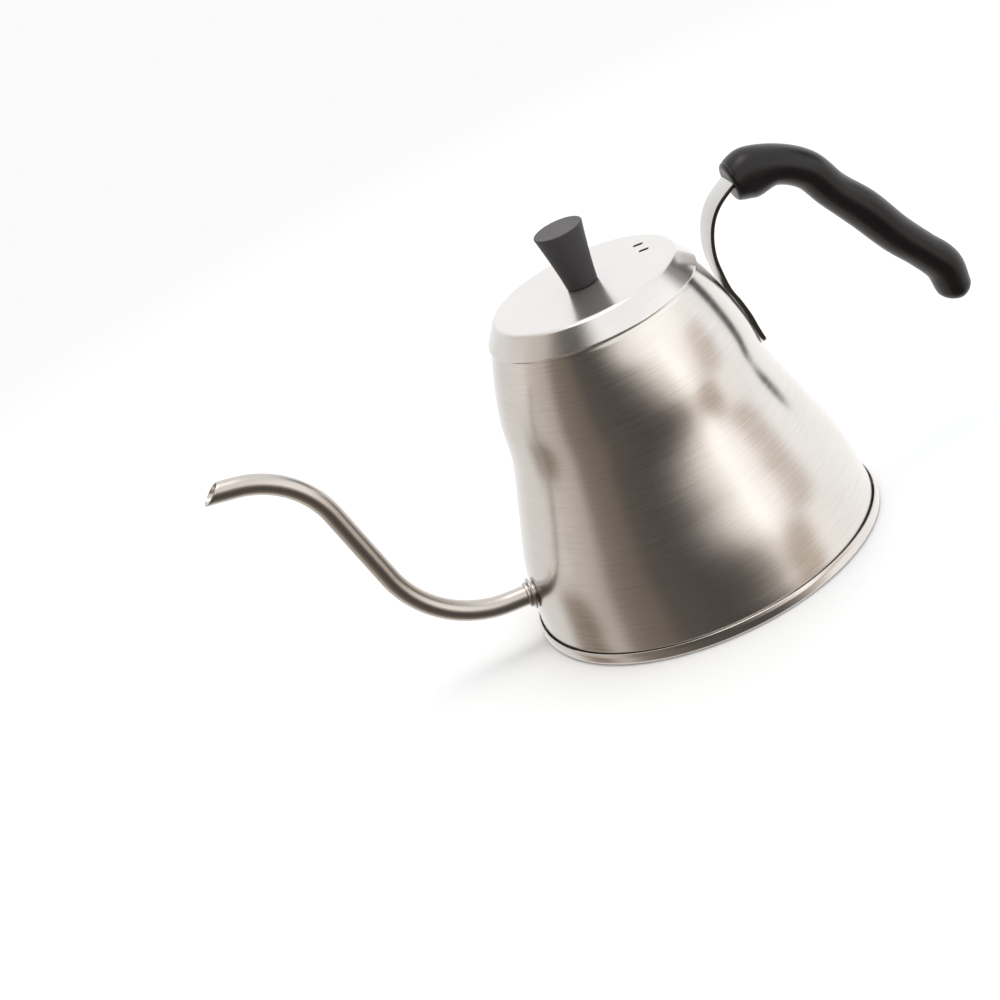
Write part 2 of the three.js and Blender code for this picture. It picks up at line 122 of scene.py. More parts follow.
class BodySettings(bpy.types.PropertyGroup):
    """The vessel: shell, mouth ring and base."""

    wall: length("Shell wall", 0.8, "Thickness of the drawn shell")
    sides: count("Sides", 192, "Facets around each large turned piece")
    ledge_wall: length("Mouth ring wall", 0.8, "Thickness of the mouth ring's sheet")
    band_wall: length("Band wall", 0.9, "Thickness of the base band")
    band_flange: length("Band flange", 4.5, "How far the band turns in under the floor")
    pan_wall: length("Floor wall", 0.8, "Thickness of the vessel's floor")
    pan_lean: share("Floor step lean", 0.55, "Lean of the step around the floor, as run over rise")
    cover_wall: length("Cover wall", 0.6, "Thickness of the cover under the base")
    cover_grooves: count("Cover grooves", 5, "Shallow pressed rings in the underside")


class SpoutSettings(bpy.types.PropertyGroup):
    """The bent tube and the two rings at its root."""

    radius: length("Tube radius", 4.25, "Outer radius of the spout tube")
    wall: length("Tube wall", 0.6, "Wall of the spout tube")
    root_height: length("Root height", 22.6, "Height where the spout meets the shell")
    inside: length("Length inside", 1.6, "How far the tube stands inside the shell")
    root_rise: angle("Root rise", 6, "Rise of the first straight above level")
    leg_rise: angle("Leg rise", 77, "Rise of the upright straight above level")
    tip_rise: angle("Tip rise", 13, "Rise of the last straight above level")
    root_length: length("Root length", 10.4, "First straight, from the shell to the bend")
    lower_bend: length("Lower bend", 45, "Centre line radius of the lower bend")
    upper_bend: length("Upper bend", 39, "Centre line radius of the upper bend")
    tip_length: length("Tip length", 9.6, "Last straight, to the middle of the outlet")
    outlet_rise: length("Outlet rise", 3, "Middle of the outlet above the shell's top")
    cut: angle("Outlet slant", 38, "Angle between the outlet and level")
    flange_width: length("Flange width", 2.05, "Width of the flange around the tube")
    flange_thickness: length("Flange thickness", 0.9, "Thickness of the flange")
    collar_wall: length("Collar wall", 0.75, "Width of the small bead around the tube")
    collar_length: length("Collar length", 1.5, "Length of the small bead")
    sides: count("Sides", 64, "Facets around the tube")


class HandleSettings(bpy.types.PropertyGroup):
    """The steel strap and the moulded grip."""

    strap_width: length("Strap width", 14.5, "Width of the strap")
    strap_thickness: length("Strap thickness", 1.6, "Thickness of the strap")
    strap_corner: length("Strap corner", 2.6, "Rounding of the corners at the strap's lower end")
    foot_drop: length("Strap foot", 45.8, "Lower end of the strap below the shell's top")
    leave_drop: length("Strap leaves shell", 18.8, "Where the strap leaves the shell, below its top")
    lid_gap: length("Lid gap", 5.6, "Between the strap and the lid's skirt")
    grip_front: length("Grip front", 68, "Front end of the grip from the kettle's axis")
    grip_rise: length("Grip rise", 19.7, "Middle of the grip's front end above the shell")
    half_width: length("Grip half width", 10.2, "Half the width of the grip")
    screw_place: length("Screw place", 10.5, "Screw behind the grip's front end")
    weld_spots: count("Weld spots", 3, "Spot welds along the strap's foot")


class LidSettings(bpy.types.PropertyGroup):
    """The lift-off lid and its knob."""

    wall: length("Lid wall", 0.8, "Thickness of the lid's sheet")
    hem: length("Hem", 0.8, "Upright edge at the bottom of the skirt")
    slope: length("Slope", 4.5, "Run of the sloping skirt, seen from above")
    shoulder: length("Shoulder", 2.8, "Rounding between the flat top and the skirt")
    plug_wall: length("Plug wall", 0.7, "Thickness of the ring that centres the lid")
    vent_length: length("Vent length", 4.4, "Length of each vent slot")
    vent_width: length("Vent width", 1.5, "Width of each vent slot")
    vent_pitch: length("Vent pitch", 8.5, "Distance between the two slots across the lid")
    vent_inset: length("Vent inset", 8.7, "From the edge of the flat top in to the slots")
    vent_bearing: angle("Vent bearing", 12.7, "Bearing of the slots from the handle")
    vent_turn: angle("Vent turn", -20, "Direction of the slots")
    knob_base: length("Knob base", 6.5, "Radius of the knob where it meets the lid")


class FinishSettings(bpy.types.PropertyGroup):
    """Colours of the finishes."""

    body: colour("Body steel", (0.74, 0.715, 0.69), "Brushed steel of the body")
    lid: colour("Lid steel", (0.79, 0.775, 0.76), "Satin steel of the lid and the base sheets")
    spout: colour("Spout steel", (0.60, 0.565, 0.53), "Satin steel of the spout")
    strap: colour("Strap steel", (0.70, 0.70, 0.69), "Satin steel of the strap")
    grip: colour("Grip", (0.0065, 0.0055, 0.0058), "Black moulded grip")
    knob: colour("Knob", (0.046, 0.044, 0.047), "Charcoal moulded knob")
    floor: colour("Floor", (0.83, 0.85, 0.865), "Pale studio floor")


class KettleSettings(bpy.types.PropertyGroup):
    """Everything that can be set on the kettle."""

    body: bpy.props.PointerProperty(type=BodySettings, name="Body", description="Sizes of the vessel")
    spout: bpy.props.PointerProperty(type=SpoutSettings, name="Spout", description="Sizes of the spout")
    handle: bpy.props.PointerProperty(type=HandleSettings, name="Handle", description="Sizes of the handle")
    lid: bpy.props.PointerProperty(type=LidSettings, name="Lid", description="Sizes of the lid")
    finish: bpy.props.PointerProperty(type=FinishSettings, name="Finish", description="Colours")


def settings():
    return bpy.context.scene.kettle


# ---------------------------------------------------------------- the skin tree

def node_in(tree, kind, links=None, values=None, **options):
    """Adds a node, sets its options and input values, and links its inputs."""
    node = tree.nodes.new(kind)
    for key, value in options.items():
        setattr(node, key, value)
    for key, value in (values or {}).items():
        node.inputs[key].default_value = value
    for key, source in (links or {}).items():
        tree.links.new(source, node.inputs[key])
    return node


def maths_in(tree, operation, *values):
    """A Math node over numbers and sockets."""
    node = node_in(tree, "ShaderNodeMath", operation=operation)
    for socket, value in zip(node.inputs, values):
        if isinstance(value, (int, float)):
            socket.default_value = value
        else:
            tree.links.new(value, socket)
    return node.outputs[0]


def skin_tree():
    """Geometry Nodes tree that skins a guide: each guide point is a ring with the section object's outline.

    A ring's corner stands at the point plus the section's x along "up" and its y along "side".
    """
    tree = bpy.data.node_groups.get("skin_rings")
    if tree:
        return tree
    tree = bpy.data.node_groups.new("skin_rings", "GeometryNodeTree")
    tree.is_modifier = True
    for name, way, kind in (
        ("Geometry", "INPUT", "Geometry"), ("Section", "INPUT", "Object"),
        ("Merge distance", "INPUT", "Float"), ("Material", "INPUT", "Material"),
        ("Geometry", "OUTPUT", "Geometry"),
    ):
        tree.interface.new_socket(name, in_out=way, socket_type="NodeSocket" + kind)

    def add(kind, links=None, values=None, **options):
        return node_in(tree, kind, links, values, **options)

    def maths(operation, *values):
        return maths_in(tree, operation, *values)

    given = add("NodeGroupInput").outputs
    guide = given["Geometry"]
    section = add("GeometryNodeObjectInfo", {"Object": given["Section"]}).outputs["Geometry"]
    rings = add("GeometryNodeAttributeDomainSize", {"Geometry": guide}).outputs["Point Count"]
    corners = add("GeometryNodeAttributeDomainSize", {"Geometry": section}).outputs["Point Count"]
    grid = add("GeometryNodeMeshGrid", {
        "Vertices X": maths("ADD", corners, 1), "Vertices Y": rings,
    }, {"Size X": 1, "Size Y": 1})
    place = add("ShaderNodeSeparateXYZ", {0: add("GeometryNodeInputPosition").outputs[0]}).outputs
    around = maths("ADD", place["X"], 0.5)
    row = maths("ROUND", maths("MULTIPLY", maths("ADD", place["Y"], 0.5), maths("SUBTRACT", rings, 1)))
    corner = maths("MODULO", maths("ROUND", maths("MULTIPLY", around, corners)), corners)

    def sampled(geometry, value, index, kind="FLOAT_VECTOR"):
        return add("GeometryNodeSampleIndex", {
            "Geometry": geometry, "Value": value, "Index": index,
        }, data_type=kind).outputs[0]

    def guide_value(name, kind="FLOAT_VECTOR"):
        named = add("GeometryNodeInputNamedAttribute", values={"Name": name}, data_type=kind)
        return sampled(guide, named.outputs["Attribute"], row, kind)

    position = add("GeometryNodeInputPosition").outputs[0]
    outline = add("ShaderNodeSeparateXYZ", {0: sampled(section, position, corner)}).outputs
    centre = sampled(guide, position, row)
    spot = centre
    for name, distance in (("up", outline["X"]), ("side", outline["Y"])):
        step = add("ShaderNodeVectorMath", {0: guide_value(name), "Scale": distance}, operation="SCALE")
        spot = add("ShaderNodeVectorMath", {0: spot, 1: step.outputs[0]}).outputs[0]

    flat_map = add("ShaderNodeCombineXYZ", {"X": around, "Y": guide_value("along", "FLOAT")}).outputs[0]
    mapped = add("GeometryNodeStoreNamedAttribute", {
        "Geometry": grid.outputs["Mesh"], "Value": flat_map,
    }, {"Name": "UVMap"}, data_type="FLOAT2", domain="CORNER")
    moved = add("GeometryNodeSetPosition", {"Geometry": mapped.outputs[0], "Position": spot})
    skin = moved
    for kind, links in (
        ("GeometryNodeMergeByDistance", {"Distance": given["Merge distance"]}),
        ("GeometryNodeSetShadeSmooth", {}),
        ("GeometryNodeRealizeInstances", {}),
        ("GeometryNodeSetMaterial", {"Material": given["Material"]}),
        ("NodeGroupOutput", {}),
    ):
        skin = add(kind, {"Geometry": skin.outputs[0], **links})
    return tree


def linked(name, mesh):
    piece = bpy.data.objects.new(name, mesh)
    bpy.context.scene.collection.objects.link(piece)
    return piece


def outline_object(name, points):
    """A hidden helper whose vertices, in order, are a section's corners."""
    mesh = bpy.data.meshes.new(name)
    mesh.from_pydata([(x, y, 0) for x, y in points], [], [])
    return linked(name, mesh)


def circle_section(sides):
    turns = [2 * math.pi * k / sides for k in range(sides)]
    return outline_object("section", [(math.cos(t), math.sin(t)) for t in turns])


def applied(piece):
    """Turns a piece's modifiers into plain mesh."""
    depsgraph = bpy.context.evaluated_depsgraph_get()
    mesh = bpy.data.meshes.new_from_object(piece.evaluated_get(depsgraph), depsgraph=depsgraph)
    old = piece.data
    piece.modifiers.clear()
    piece.data = mesh
    mesh.name = piece.name
    bpy.data.meshes.remove(old)
    return piece


def outwards(mesh):
    """Points every face of a closed mesh out."""
    work = bmesh.new()
    work.from_mesh(mesh)
    bmesh.ops.recalc_face_normals(work, faces=work.faces)
    if work.calc_volume(signed=True) < 0:
        bmesh.ops.reverse_faces(work, faces=work.faces)
    work.to_mesh(mesh)
    work.free()


def skinned(name, rings, material, section=None, sides=64):
    """A closed skin over rings of (centre, up, side), made by the skin tree."""
    mesh = bpy.data.meshes.new(name)
    mesh.from_pydata([ring[0] for ring in rings], [], [])
    for key, part in (("up", 1), ("side", 2)):
        layer = mesh.attributes.new(key, "FLOAT_VECTOR", "POINT")
        layer.data.foreach_set("vector", [value for ring in rings for value in ring[part]])
    along = [0.0]
    for before, after in zip(rings, rings[1:]):
        step = (Vector(after[0]) + Vector(after[1])) - (Vector(before[0]) + Vector(before[1]))
        along.append(along[-1] + step.length)
    mesh.attributes.new("along", "FLOAT", "POINT").data.foreach_set("value", along)
    piece = linked(name, mesh)
    helper = section or circle_section(sides)
    tree = skin_tree()
    modifier = piece.modifiers.new("skin", "NODES")
    modifier.node_group = tree
    inputs = {"Section": helper, "Merge distance": MERGE, "Material": material}
    for item in tree.interface.items_tree:
        if item.in_out == "INPUT" and item.name in inputs:
            modifier[item.identifier] = inputs[item.name]
    applied(piece)
    bpy.data.objects.remove(helper)
    outwards(piece.data)
    piece.data.set_sharp_from_angle(angle=SHARP)
    return piece


# ---------------------------------------------------------------- profiles

def filleted(points, steps=5):
    """An outline whose corners are rounded: each point is (r, z) or (r, z, fillet radius)."""
    most = 0.46  # share of a side that one of its fillets may take up
    lead = 1.15  # a point this far out, in reaches, keeps the shading of the flats flat
    rounded = []
    last = len(points) - 1
    for i, point in enumerate(points):
        here = Vector(point[:2])
        if i in (0, last) or len(point) < 3:
            rounded.append(tuple(here))
            continue
        before = Vector(points[i - 1][:2]) - here
        after = Vector(points[i + 1][:2]) - here
        half = before.angle(after) / 2
        reach = min(point[2] / math.tan(half), most * before.length, most * after.length)
        radius = reach * math.tan(half)
        before, after = before.normalized(), after.normalized()
        centre = here + (before + after).normalized() * (radius / math.sin(half))
        start, end = here + before * reach, here + after * reach
        turn = (end - centre).angle(start - centre)
        rounded.append(tuple(here + before * reach * lead))
        for k in range(steps + 1):
            s = k / steps
            spot = (start - centre) * (math.sin((1 - s) * turn) / math.sin(turn))
            spot += (end - centre) * (math.sin(s * turn) / math.sin(turn))
            rounded.append(tuple(centre + spot))
        rounded.append(tuple(here + after * reach * lead))
    return rounded


def turned(name, profile, material, sides=None, axis=Matrix.Identity(4)):
    """A profile of (r, z) points turned about the local Z of axis."""
    turn = axis.to_3x3()
    rings = []
    for r, z in profile:
        rings.append((axis @ Vector((0, 0, z)), turn @ Vector((r, 0, 0)), turn @ Vector((0, r, 0))))
    return skinned(name, rings, material, sides=sides or settings().body.sides)


def rod(name, radius, low, high, material, sides, axis=Matrix.Identity(4)):
    """A plain cylinder between two heights, used as a cutter."""
    return turned(name, [(0, low), (radius, low), (radius, high), (0, high)], material, sides, axis)


def ring_outline(inner, outer, low, high, fillet):
    """A rectangular ring's closed profile with rounded corners, from the middle of its inner side."""
    middle = (low + high) / 2
    return filleted([
        (inner, middle), (inner, low, fillet), (outer, low, fillet), (outer, high, fillet),
        (inner, high, fillet), (inner, middle),
    ])


def collar_outline(bore, rim, wall, low, high, soft, bend, steps=5):
    """Closed profile of a sheet collar whose top is turned out to a rim, over a bend."""
    middle, outer, under = (low + high) / 2, bore + wall, high - wall
    return filleted([
        (bore, middle), (bore, low, soft), (outer, low, soft), (outer, under, soft), (rim, under, soft),
        (rim, high, soft), (bore, high, bend), (bore, middle),
    ], steps)


def catmull(points, steps, power=0.5):
    """Catmull-Rom curve through points; power 0 spaces the knots evenly and 0.5 is centripetal."""
    points = [Vector(p) for p in points]
    line = [points[0] * 2 - points[1], *points, points[-1] * 2 - points[-2]]
    pieces = len(points) - 1
    curve = []
    for k in range(steps + 1):
        place = k / steps * pieces
        i = min(int(place), pieces - 1)
        t = place - i
        p0, p1, p2, p3 = line[i:i + 4]
        knots = ((p0, p1), (p1, p2), (p2, p3))
        d0, d1, d2 = [max((b - a).length_squared ** (power / 2), 1e-9) for a, b in knots]
        m1 = ((p1 - p0) / d0 - (p2 - p0) / (d0 + d1) + (p2 - p1) / d1) * d1
        m2 = ((p2 - p1) / d1 - (p3 - p1) / (d1 + d2) + (p3 - p2) / d2) * d1
        curve.append(
            p1 * (2 * t ** 3 - 3 * t ** 2 + 1) + m1 * (t ** 3 - 2 * t ** 2 + t)
            + p2 * (3 * t ** 2 - 2 * t ** 3) + m2 * (t ** 3 - t ** 2)
        )
    return curve


def tangents(curve):
    ends = [curve[0], *curve, curve[-1]]
    return [(ends[i + 2] - ends[i]).normalized() for i in range(len(curve))]


# Share of the shell's height, and share of the flare from the mouth out to the foot
BELL_FORM = [
    (0, 1), (0.07, 0.97), (0.23, 0.873), (0.4, 0.657), (0.6, 0.407), (0.75, 0.32), (0.885, 0.173), (1, 0),
]


def bell_outline(steps):
    """Outer outline of the shell from its foot to its mouth."""
    points = [
        (MOUTH_RADIUS + flare * (FOOT_RADIUS - MOUTH_RADIUS), SHELL_FOOT + rise * (SHELL_TOP - SHELL_FOOT))
        for rise, flare in BELL_FORM
    ]
    return catmull(points, steps, power=0)


BELL = bell_outline(600)


def body_radius(height):
    """Outer radius of the shell at a height."""
    for low, high in zip(BELL, BELL[1:]):
        if high.y >= height:
            return low.x + (high.x - low.x) * (height - low.y) / (high.y - low.y)
    return BELL[-1].x


# ---------------------------------------------------------------- finishing a piece

def carved(piece, *cutters):
    """Cuts the cutters out of a piece and removes them."""
    for cutter in cutters:
        modifier = piece.modifiers.new("carve", "BOOLEAN")
        modifier.operation = "DIFFERENCE"
        modifier.solver = "EXACT"
        modifier.material_mode = "TRANSFER"
        modifier.object = cutter
        applied(piece)
        bpy.data.objects.remove(cutter)
    piece.data.set_sharp_from_angle(angle=SHARP)
    return piece


def block(name, low, high, material=None):
    """A closed box between two corners."""
    mesh = bpy.data.meshes.new(name)
    work = bmesh.new()
    bmesh.ops.create_cube(work, size=1)
    for vert in work.verts:
        vert.co = Vector([(b if c > 0 else a) for a, b, c in zip(low, high, vert.co)])
    work.to_mesh(mesh)
    work.free()
    if material:
        mesh.materials.append(material)
    return linked(name, mesh)


def finished(piece, body, slot, *nodes):
    """Hangs a piece on its body and hides the nodes that it stands for; its slot is not used."""
    piece.hide_viewport = piece.hide_render = False
    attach(piece, body)
    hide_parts(*nodes)
    return piece


def dressed(node, material):
    """Gives a CAD node that stays a finish."""
    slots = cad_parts[node].material_slots
    if not slots:
        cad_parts[node].data.materials.append(material)
    for slot in slots:
        slot.material = material


# ---------------------------------------------------------------- finishes

def new_shader(name, **constants):
    """A material with a Principled shader, with its constants set on the sockets."""
    material = bpy.data.materials.get(name)
    if material:
        bpy.data.materials.remove(material)
    material = bpy.data.materials.new(name)
    material.use_nodes = True
    tree = material.node_tree
    tree.nodes.clear()
    shader = node_in(tree, "ShaderNodeBsdfPrincipled", values=constants)
    node_in(tree, "ShaderNodeOutputMaterial", {"Surface": shader.outputs[0]})
    return material, tree, shader


def stretched_noise(tree, scale, detail=3, roughness=0.6):
    """Noise on Object coordinates, finer along an axis the larger its scale."""
    coordinates = node_in(tree, "ShaderNodeTexCoord").outputs["Object"]
    mapping = node_in(tree, "ShaderNodeMapping", {"Vector": coordinates}, {"Scale": scale})
    noise = node_in(tree, "ShaderNodeTexNoise", {"Vector": mapping.outputs[0]}, {
        "Scale": 1, "Detail": detail, "Roughness": roughness,
    })
    return noise.outputs["Fac"]


def ranged(tree, value, low, high, from_low=0.3, from_high=0.7):
    """A value carried from one range to another, and held at its ends."""
    return node_in(tree, "ShaderNodeMapRange", {"Value": value}, {
        "From Min": from_low, "From Max": from_high, "To Min": low, "To Max": high,
    }).outputs[0]


def blended(tree, factor, first, second, mode="MIX"):
    """Mixes two colours, each a colour or a socket."""
    node = tree.nodes.new("ShaderNodeMix")
    node.data_type = "RGBA"
    node.blend_type = mode
    node.clamp_factor = True
    tree.links.new(factor, node.inputs[0])
    for socket, value in ((node.inputs[6], first), (node.inputs[7], second)):
        if isinstance(value, bpy.types.NodeSocket):
            tree.links.new(value, socket)
        else:
            socket.default_value = (*value, 1)
    return node.outputs[2]


def shaded(tint, factor):
    return tuple(min(1, c * factor) for c in tint)


def embossed(tree, shader, height, strength, depth):
    bump = node_in(tree, "ShaderNodeBump", {"Height": height}, {"Strength": strength, "Distance": depth})
    tree.links.new(bump.outputs[0], shader.inputs["Normal"])


# Near-black colour painted on the strap's side edges: painted shade
EDGE_PAINTED_SHADE = (0.17, 0.155, 0.145)


def brushed_steel(
    name, tint, roughness, grain, anisotropic=0.0, relief=1.0, contrast=1.0, haze=0.0, edge_shade_past=0.0,
):
    """Steel with brush lines finer along the larger scales of grain, and faint smudges.

    haze is the share of light that the brushed surface scatters evenly. The distance given last is measured
    from the plane of symmetry; beyond it the sheet's edge is painted near-black, as painted shade.
    """
    material, tree, shader = new_shader(name, Metallic=1.0 - haze, Anisotropic=anisotropic)
    shader.inputs["Anisotropic Rotation"].default_value = 0.25
    lines = stretched_noise(tree, grain, detail=4, roughness=0.7)
    coarse = stretched_noise(tree, [g * 0.4 for g in grain], detail=2)
    smudge = stretched_noise(tree, (30, 30, 30), detail=3)
    both = maths_in(tree, "ADD", lines, coarse)
    middling = (0.75, 1.25)  # what the two noises add up to, mostly
    swing = 0.05 * contrast
    mottled = blended(
        tree, ranged(tree, both, 0, 1, *middling), shaded(tint, 1 - swing), shaded(tint, 1 + swing),
    )
    smudged_and_edge_shade = blended(tree, ranged(tree, smudge, 0, 0.12), mottled, shaded(tint, 0.8))
    # Past the given distance from the plane of symmetry the colour turns near-black: painted shade on the
    # sheet's edge
    if edge_shade_past:
        place = node_in(tree, "ShaderNodeTexCoord").outputs["Object"]
        aside = maths_in(tree, "ABSOLUTE", node_in(tree, "ShaderNodeSeparateXYZ", {0: place}).outputs["Y"])
        edge_shade_mask = ranged(tree, aside, 0, 1, edge_shade_past - 0.12 * MM, edge_shade_past)
        smudged_and_edge_shade = blended(tree, edge_shade_mask, smudged_and_edge_shade, EDGE_PAINTED_SHADE)
    tree.links.new(smudged_and_edge_shade, shader.inputs["Base Color"])
    streaks = ranged(tree, both, -0.02, 0.02, *middling)
    smears = ranged(tree, smudge, roughness - 0.01, roughness + 0.02)
    tree.links.new(maths_in(tree, "ADD", streaks, smears), shader.inputs["Roughness"])
    embossed(tree, shader, both, 0.3 * relief, 0.004 * MM)
    if anisotropic:
        tangent = node_in(tree, "ShaderNodeTangent", direction_type="UV_MAP", uv_map="UVMap")
        tree.links.new(tangent.outputs[0], shader.inputs["Tangent"])
    return material


def moulded(name, tint, roughness, grain, relief, dust, gloss=0.5, lit_top_painted=False):
    """Moulded plastic: fine texture, a little dust and uneven gloss; the flat top may be painted lighter in
    patches where it faces up, as painted light.
    """
    material, tree, shader = new_shader(name, Metallic=0.0, IOR=1.48)
    shader.inputs["Specular IOR Level"].default_value = gloss
    texture = stretched_noise(tree, (grain, grain, grain), detail=2, roughness=0.55)
    cloud = stretched_noise(tree, (70, 70, 70), detail=4, roughness=0.65)
    base = blended(tree, ranged(tree, cloud, 0, 1, 0.35, 0.7), tint, dust)
    # Faces that point up are painted lighter in patches: painted light on the flat top
    if lit_top_painted:
        normal = node_in(tree, "ShaderNodeNewGeometry").outputs["Normal"]
        up = node_in(tree, "ShaderNodeSeparateXYZ", {0: normal}).outputs["Z"]
        flat = ranged(tree, up, 0, 1, 0.9, 0.99)
        patches = ranged(tree, stretched_noise(tree, (420, 420, 420), detail=5, roughness=0.7), 0.35, 1)
        base = blended(tree, maths_in(tree, "MULTIPLY", flat, patches), base, shaded(tint, 1.9))
    tree.links.new(base, shader.inputs["Base Color"])
    tree.links.new(ranged(tree, cloud, roughness - 0.05, roughness + 0.07), shader.inputs["Roughness"])
    embossed(tree, shader, texture, relief, 0.03 * MM)
    return material


def make_finishes():
    """All of the kettle's materials by name."""
    tints = settings().finish
    edge = settings().handle.strap_width / 2 - 0.25 * MM
    around, level = (110, 110, 4200), (80, 4200, 4200)  # brushed round the body, or straight across the lid
    return {
        "body": brushed_steel(
            "body_steel", tints.body, 0.2, around, anisotropic=0.25, relief=0.45, contrast=0.95,
        ),
        "band": brushed_steel(
            "band_steel", tints.body, 0.2, around, anisotropic=0.25, relief=0.4, contrast=0.5,
        ),
        "lid": brushed_steel("lid_steel", tints.lid, 0.2, level, relief=0.4, contrast=0.5, haze=0.1),
        "sheet": brushed_steel("sheet_steel", shaded(tints.lid, 0.9), 0.3, around, anisotropic=0.3),
        "spout": brushed_steel("spout_steel", tints.spout, 0.28, [1400] * 3, relief=0.2, contrast=0.2),
        # The strap's side edges, past edge from its middle, are painted near-black: painted shade
        "strap": brushed_steel(
            "strap_steel", tints.strap, 0.24, (60, 3200, 60), relief=0.5, contrast=0.5, edge_shade_past=edge,
        ),
        # Near-black steel for the vents' cut walls: painted shade inside the slots
        "slot": brushed_steel("slot_edge", (0.05, 0.047, 0.045), 0.55, [900] * 3, relief=0.4),
        "screw": brushed_steel("screw_steel", (0.62, 0.62, 0.62), 0.22, [900] * 3, relief=0.4),
        "aluminium": brushed_steel("mill_aluminium", (0.70, 0.71, 0.72), 0.42, (60, 2600, 2600)),
        "brass": brushed_steel("turned_brass", (0.74, 0.55, 0.26), 0.3, (300, 300, 5200)),
        "grip": moulded("grip_black", tints.grip, 0.3, 2600, 0.2, shaded(tints.grip, 1.6), gloss=0.4),
        # The knob's flat top is painted lighter: painted light
        "knob": moulded(
            "knob_charcoal", tints.knob, 0.5, 3400, 0.3, shaded(tints.knob, 1.25), gloss=0.3, lit_top_painted=True,
        ),
    }


FINISHES = {}


# ---------------------------------------------------------------- base

def make_base_band():
    sizes = settings().body
    low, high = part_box("base_ring")
    outer = high.y
    inner = outer - sizes.band_wall
    flange = inner - sizes.band_flange
    shelf = low.z + sizes.band_wall
    middle = (low.z + shelf) / 2
    edge, lip, foot_round = 0.3 * MM, 0.4 * MM, 1.1 * MM
    lip_height, lip_lean, lip_bend = 1.5 * MM, 0.42 * MM, 2 * MM  # its top leans in a little
    profile = filleted([
        (flange, middle), (flange, low.z, edge), (outer, low.z, foot_round),
        (outer, high.z - lip_height, lip_bend), (outer - lip_lean, high.z, lip), (inner, high.z, lip),
        (inner, shelf, edge), (flange, shelf, edge), (flange, middle),
    ], steps=6)
    piece = turned("base_band", profile, FINISHES["band"])
    finished(piece, "kettle", "brushed_steel", "base_ring")


def make_floor_pan():
    wall = settings().body.pan_wall
    low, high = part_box("base_pan")
    rim = high.y
    floor = high.z - wall
    step = radius_at("base_pan", floor)
    foot = step + settings().body.pan_lean * (floor - low.z)
    skew = 0.5 * wall
    soft = 1.1 * MM
    edge = 0.3 * MM
    over_foot = low.z + wall
    profile = filleted([
        (0, floor), (step, floor, soft), (foot, low.z, soft), (rim, low.z, edge), (rim, over_foot, edge),
        (foot + skew, over_foot, soft), (step + skew, high.z, soft), (0, high.z),
    ])
    piece = turned("floor_pan", profile, FINISHES["sheet"])
    finished(piece, "kettle", "satin_steel", "base_pan")


def make_base_cover():
    sizes = settings().body
    low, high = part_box("base_cover")
    outer = high.y
    wall = sizes.cover_wall
    underside = [(0, low.z)]
    pitch = outer / (sizes.cover_grooves + 1)
    width, narrow, depth = 0.9 * MM, 0.27 * MM, 0.22 * MM  # of a groove's half, open and at its bottom
    for k in range(1, sizes.cover_grooves + 1):
        r = k * pitch
        underside += [
            (r - width, low.z, 0.3 * MM), (r - narrow, low.z + depth, 0.2 * MM),
            (r + narrow, low.z + depth, 0.2 * MM), (r + width, low.z, 0.3 * MM),
        ]
    profile = filleted([
        *underside, (outer, low.z, 0.5 * MM), (outer, high.z, 0.25 * MM), (outer - wall, high.z, 0.25 * MM),
        (outer - wall, low.z + wall, 0.3 * MM), (0, low.z + wall),
    ], steps=4)
    piece = turned("base_cover_plate", profile, FINISHES["sheet"])
    finished(piece, "kettle", "satin_steel", "base_cover")


# ---------------------------------------------------------------- body

def make_shell():
    sizes = settings().body
    wall = sizes.wall
    curve = bell_outline(96)
    half = wall / 2
    outer = [tuple(p) for p in curve if p.y < SHELL_TOP - half]
    inner = [(r - wall, z) for r, z in reversed(outer)]
    turns = [math.pi * k / 8 for k in range(9)]
    lip = [(MOUTH_RADIUS - half + half * math.cos(t), SHELL_TOP - half + half * math.sin(t)) for t in turns]
    profile = [*outer, *lip, *inner, outer[0]]
    shell = turned("bell_shell", profile, FINISHES["body"])
    spout = settings().spout
    through = 6 * MM
    hole = rod("hole", spout.radius + GAP, -through, through, FINISHES["body"], 48, spout_root())
    carved(shell, hole)
    finished(shell, "kettle", "brushed_steel", "body_shell")


def make_mouth_ring():
    wall = settings().body.ledge_wall
    low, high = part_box("mouth_ring")
    bore = radius_at("mouth_ring", low.z) - wall
    profile = collar_outline(bore, high.y, wall, low.z, high.z, 0.35 * MM, 0.9 * MM, steps=6)
    piece = turned("mouth_ledge", profile, FINISHES["sheet"])
    finished(piece, "kettle", "satin_steel", "mouth_ring")


# ---------------------------------------------------------------- spout

def spout_root():
    """Where the spout meets the shell, with local Z out along the tube."""
    spout = settings().spout
    place = Vector((-body_radius(spout.root_height), 0, spout.root_height))
    return Matrix.Translation(place) @ Matrix.Rotation(spout.root_rise - math.pi / 2, 4, "Y")


